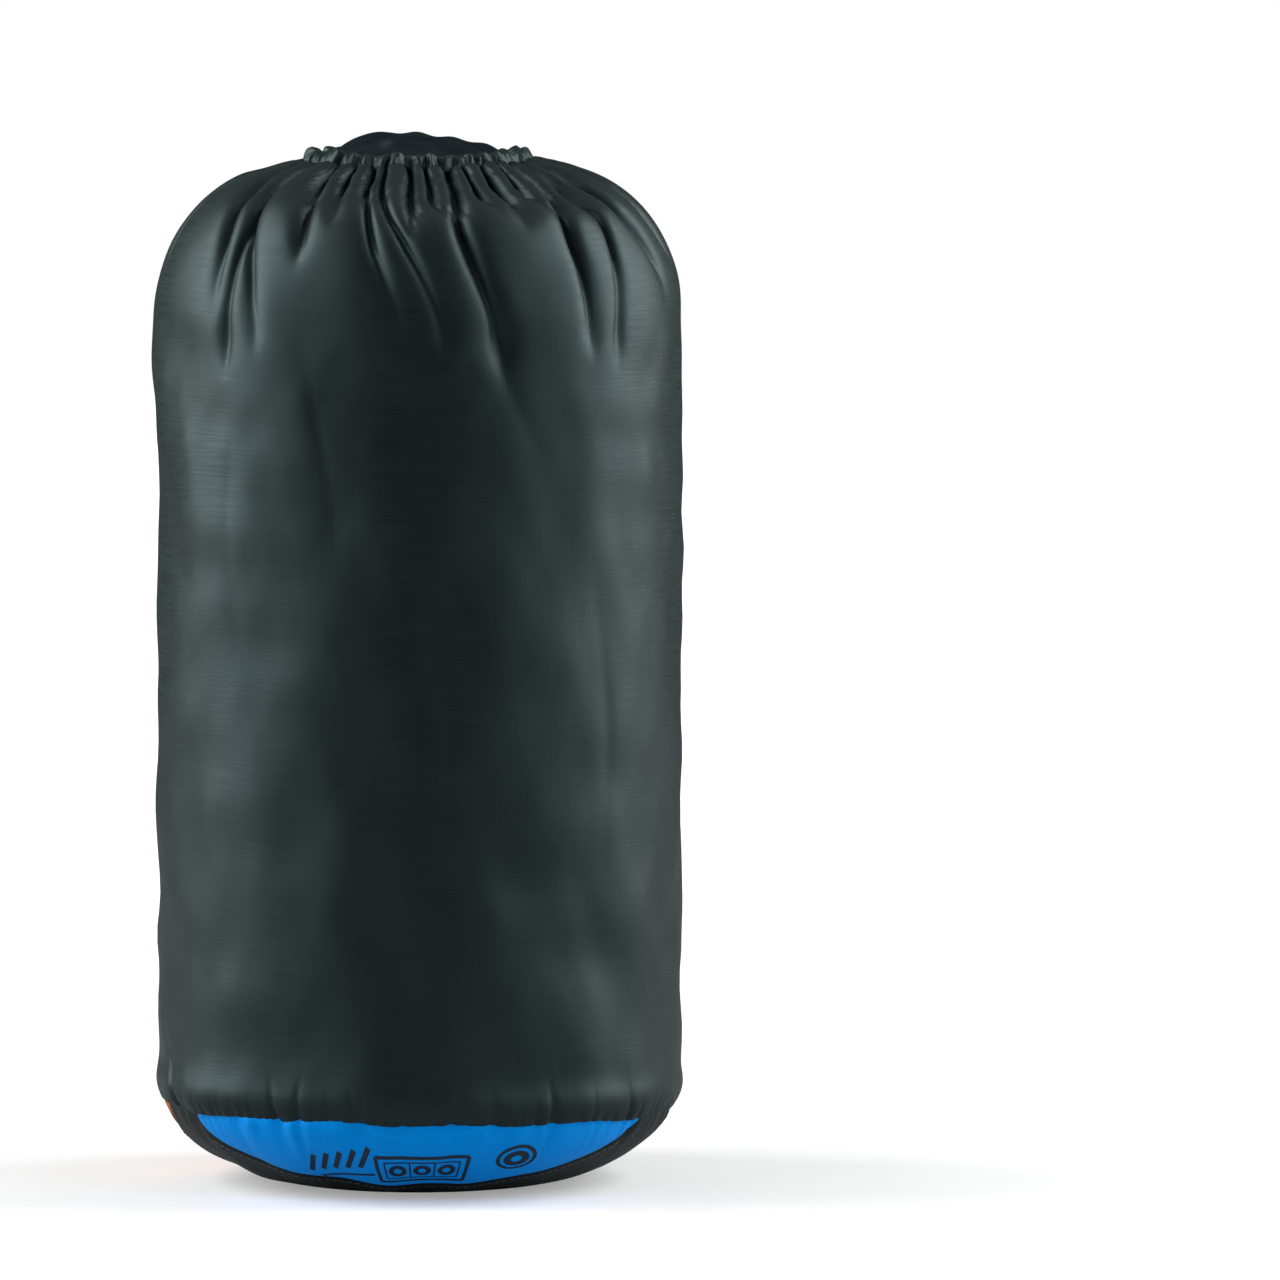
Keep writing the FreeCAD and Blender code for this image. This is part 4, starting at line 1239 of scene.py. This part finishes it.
def glowing(tree, grey, strength):
    sockets = {"Color": (grey, grey, grey, 1), "Strength": strength}
    return new_node(tree, "ShaderNodeEmission", sockets).outputs[0]


def floor_paper():
    """White paper that fades into the white behind it, away from the object.

    It looks white to the camera, but gives off less light than white paper would, so that the dark cloth stays dark.
    """
    material, tree, shader = new_material("floor_paper", 0.9)
    place = on_object(tree)
    fibre = noise(tree, place, 40.0, 3.0)
    shades = mixed(tree, remapped(tree, fibre, 0, 1), (0.88, 0.88, 0.88), (0.92, 0.92, 0.92))
    seen = new_node(tree, "ShaderNodeLightPath").outputs["Is Camera Ray"]
    tree.links.new(mixed(tree, seen, (0.4, 0.4, 0.4), shades), shader.inputs["Base Color"])
    away = new_node(tree, "ShaderNodeVectorMath", {0: place}, operation="LENGTH").outputs["Value"]
    span = {"Value": away, "From Min": 0.12, "From Max": 0.75}
    far = new_node(tree, "ShaderNodeMapRange", span, interpolation_type="SMOOTHSTEP").outputs["Result"]
    share = new_node(tree, "ShaderNodeMath", {0: far, 1: seen}, operation="MULTIPLY").outputs[0]
    white, glow, none = [glowing(tree, *pair) for pair in ((1, 1.0), (1, FLOOR_GLOW), (0, 0.0))]
    both = new_node(tree, "ShaderNodeMixShader", {0: share, 1: shader.outputs[0], 2: white}).outputs[0]
    shown = new_node(tree, "ShaderNodeMixShader", {0: seen, 1: none, 2: glow}).outputs[0]
    lit = new_node(tree, "ShaderNodeAddShader", {0: both, 1: shown}).outputs[0]
    tree.links.new(lit, tree.nodes["Material Output"].inputs["Surface"])
    return material


def dress(piece, material):
    piece.data.materials.clear()
    piece.data.materials.append(material)
    return piece


# ---------------------------------------------------------------- light, floor and camera


def area_light(name, place, aim, size, power):
    light = bpy.data.lights.new(name, "AREA")
    light.shape = "RECTANGLE"
    light.size, light.size_y = size
    light.energy = power
    lamp = bpy.data.objects.new(name, light)
    lamp.location = place
    lamp.rotation_euler = (Vector(aim) - Vector(place)).to_track_quat("-Z", "Y").to_euler()
    lamp.visible_camera = False
    bpy.context.scene.collection.objects.link(lamp)


def set_world():
    """White behind the object, and only a dim even light on it, so that the soft boxes shape it."""
    world = bpy.data.worlds.new("studio")
    bpy.context.scene.world = world
    world.use_nodes = True
    tree = world.node_tree
    seen = new_node(tree, "ShaderNodeBackground", {"Color": (1, 1, 1, 1), "Strength": 1.0})
    dim = new_node(tree, "ShaderNodeBackground", {"Color": (0.95, 0.98, 1, 1), "Strength": WORLD_LIGHT})
    share = new_node(tree, "ShaderNodeLightPath").outputs["Is Camera Ray"]
    both = new_node(tree, "ShaderNodeMixShader", {0: share, 1: dim.outputs[0], 2: seen.outputs[0]})
    tree.links.new(both.outputs[0], tree.nodes["World Output"].inputs["Surface"])


def set_floor():
    size = 6.0
    corners = [(-size, -size, 0), (size, -size, 0), (size, size, 0), (-size, size, 0)]
    dress(add_mesh("floor", corners, [(0, 1, 2, 3)]), floor_paper())


def set_camera():
    """Far off and a little above level, with the sack left of the middle, as in the photograph."""
    camera = bpy.data.cameras.new("camera")
    camera.sensor_width = 36.0
    camera.lens = camera.sensor_width * CAMERA_DISTANCE / VIEW_WIDTH
    camera.clip_end = 50.0
    holder = bpy.data.objects.new("camera", camera)
    aim = Vector(VIEW_MIDDLE)
    back = Vector((0, -math.cos(CAMERA_RISE), math.sin(CAMERA_RISE)))
    holder.location = aim + CAMERA_DISTANCE * back
    holder.rotation_euler = back.to_track_quat("Z", "Y").to_euler()
    bpy.context.scene.collection.objects.link(holder)
    bpy.context.scene.camera = holder


def set_lights():
    area_light("left_softbox", (-1.3, 0.08, 0.88), (0, 0, 0.28), (1.1, 1.6), 25.5)
    area_light("right_softbox", (1.3, 0.22, 0.88), (0, 0, 0.28), (1.1, 1.6), 24)
    area_light("left_front_softbox", (-1.15, -0.95, 0.75), (0, 0, 0.28), (0.7, 1.3), 3.5)
    area_light("right_front_softbox", (1.15, -0.95, 0.75), (0, 0, 0.28), (0.7, 1.3), 3.6)
    area_light("top_softbox", (0, 0.2, 1.7), (0, 0, 0.3), (1.2, 1.2), 1.6)
    area_light("front_fill", (0.3, -2.6, 1.2), (0, 0, 0.1), (0.7, 0.5), 1.0)


# ---------------------------------------------------------------- the pieces together


def place_piece(piece, material, body="sack", replaced=()):
    dress(piece, material)
    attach(piece, body)
    if replaced:
        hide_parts(*replaced)
    return piece


def build_body(slate, thread, tape):
    """The side panel with its back seam, and the channel that is its hem."""
    body, panel_points = make_body_panel()
    place_piece(body, slate, replaced=("body_panel",))
    hem, hem_stitch_line = make_hem(panel_points[0])
    place_piece(hem, slate, replaced=("hem_channel",))
    hem_seam = place_stitches("hem_stitches", hem_stitch_line, 2.6 * MM, 1.9 * MM, 0.2 * MM)
    place_piece(hem_seam, thread)
    for number, line in enumerate(back_seam_lines(panel_points)):
        seam = place_stitches(f"back_stitches_{number + 1}", line, 3.0 * MM, 2.2 * MM, 0.2 * MM)
        place_piece(seam, thread)
    place_piece(make_back_tape(), tape, replaced=("back_seam_tape",))
    place_piece(make_seam_tape(), tape, replaced=("base_seam_binding",))


def build_base():
    """The three base panels, the marks on the front one, and the stitches along both arcs."""
    dark = nylon("base_nylon", (0.008, 0.011, 0.012), (0.013, 0.017, 0.018), (0.6, 0.8, 0.85), 0.5)
    blue = nylon("blue_nylon", (0.0, 0.25, 0.8), (0.0, 0.3, 0.92), (0.0, 0.5, 0.9), 0.5, glow=0.18)
    orange = nylon("orange_nylon", (0.5, 0.12, 0.005), (0.62, 0.17, 0.01), (1.0, 0.55, 0.15), 0.5)
    thread = woven("thread", (0.1, 0.115, 0.12), (0.22, 0.24, 0.25), 0.3)
    ink = moulded("print_ink", (0.012, 0.03, 0.06), (0.02, 0.045, 0.085), 0.6)
    place_piece(make_crescent("base_front_cloth", 0.0), blue, replaced=("base_front_panel",))
    rear = make_crescent("base_rear_cloth", REAR_PANEL_TURN)
    place_piece(rear, orange, replaced=("base_rear_panel",))
    place_piece(make_base_main(), dark, replaced=("base_main_panel",))
    place_piece(make_prints(), ink)
    for name, middle in (("front", 0.0), ("rear", REAR_PANEL_TURN)):
        seam = place_stitches(f"base_{name}_stitches", arc_stitch_line(middle), 3.1 * MM, 2.1 * MM, 0.24 * MM)
        place_piece(seam, thread)


def build_contents():
    shell = nylon("bag_shell", (0.012, 0.04, 0.085), (0.02, 0.06, 0.12), (0.6, 0.9, 1.0), 0.4, on_cloth=False)
    bag = place_piece(make_contents(), shell, replaced=("packed_sleeping_bag",))


def build_flap():
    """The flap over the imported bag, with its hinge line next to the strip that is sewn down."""
    flap, edge = make_flap()
    dress(flap, nylon("flap_nylon", (0.0015, 0.003, 0.005), (0.003, 0.006, 0.009), (0.32, 0.55, 0.7), 0.4))
    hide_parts("mouth_flap", "flap_root")
    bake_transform(flap)
    edge_tape = woven("flap_tape", (0.003, 0.004, 0.005), (0.008, 0.009, 0.011))
    place_piece(make_flap_binding(edge), edge_tape, "flap", ("flap_edge_binding",))


def build_cord():
    look = woven("cord_braid", (0.03, 0.032, 0.034), (0.1, 0.105, 0.11), 0.9)
    place_piece(make_knot(), look, replaced=("drawcord_knot",))
    braid = rope_mesh("drawcord_braid", cord_route(), CORD_RADIUS, (0, 0, 1), closed=False)
    place_piece(braid, look, replaced=("drawcord",))


def build_lock():
    """The lock's two plastic parts show as they are in CAD, with a coil spring in place of the CAD one."""
    nodes = frame["nodes"]
    barrel_look = moulded("lock_plastic", (0.012, 0.013, 0.015), (0.025, 0.026, 0.029), 0.45)
    dress(nodes["cord_lock_barrel"], barrel_look)
    plunger_look = moulded("button_plastic", (0.035, 0.037, 0.04), (0.06, 0.063, 0.067), 0.45)
    dress(nodes["cord_lock_plunger"], plunger_look)
    spring = dress(make_spring(), spring_wire())
    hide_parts("cord_lock_spring")
    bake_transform(spring)


def pressed_flat(radius):
    """Distance from the base's middle along its surface, as its cloth lies when pressed flat."""
    steps = np.linspace(0, SEAM_REACH + 3 * MM, 3000)
    lengths = np.hypot(np.diff(steps), np.diff(base_height(steps)))
    return np.interp(radius, steps, np.concatenate([[0], np.cumsum(lengths)]))


def crescent_cut(middle):
    """Sides and area of a coloured base panel pressed flat, from seam to seam."""
    half = panel_half_angle()
    off = np.linspace(-half, half, 721)
    outer = pressed_flat(seam_edge(middle + off)[0])
    inner = pressed_flat(arc_reach(middle + off, middle))
    sides = np.ptp(outer * np.sin(off)), (outer * np.cos(off)).max() - (inner * np.cos(off)).min()
    return sides, float(np.mean(outer**2 - inner**2) * half)


def main_cut():
    """Sides and area of the dark base panel pressed flat, from seam to seam."""
    around = np.linspace(-math.pi, math.pi, 1440, endpoint=False)
    outer = pressed_flat(seam_edge(around)[0])
    colours = crescent_cut(0.0)[1] + crescent_cut(REAR_PANEL_TURN)[1]
    sides = np.ptp(outer * np.sin(around)), np.ptp(outer * np.cos(around))
    return sides, float(np.mean(outer**2) * math.pi - colours)


def declare_cloth():
    """Works out each base panel's sides and area pressed flat, from seam to seam, and keeps none of them.

    The channel is the hem of the body's own cloth. Its mesh holds less than half of the real one's cloth,
    and no check measures that.
    """
    sides, area = crescent_cut(0.0)
    sides, area = crescent_cut(REAR_PANEL_TURN)
    sides, area = main_cut()
    sides = (77 * MM, 77 * MM)


slate_cloth = nylon("slate_nylon", (0.007, 0.011, 0.012), (0.011, 0.017, 0.018), (0.62, 0.95, 0.97))
dark_thread = woven("dark_thread", (0.012, 0.015, 0.016), (0.035, 0.04, 0.042), 0.3)
inner_tape = woven("seam_tape", (0.012, 0.013, 0.015), (0.03, 0.032, 0.035))
build_body(slate_cloth, dark_thread, inner_tape)
build_base()
build_contents()
build_cord()
build_flap()
build_lock()
declare_cloth()
set_world()
set_floor()
set_lights()
set_camera()
bpy.context.scene.view_settings.view_transform = "Standard"
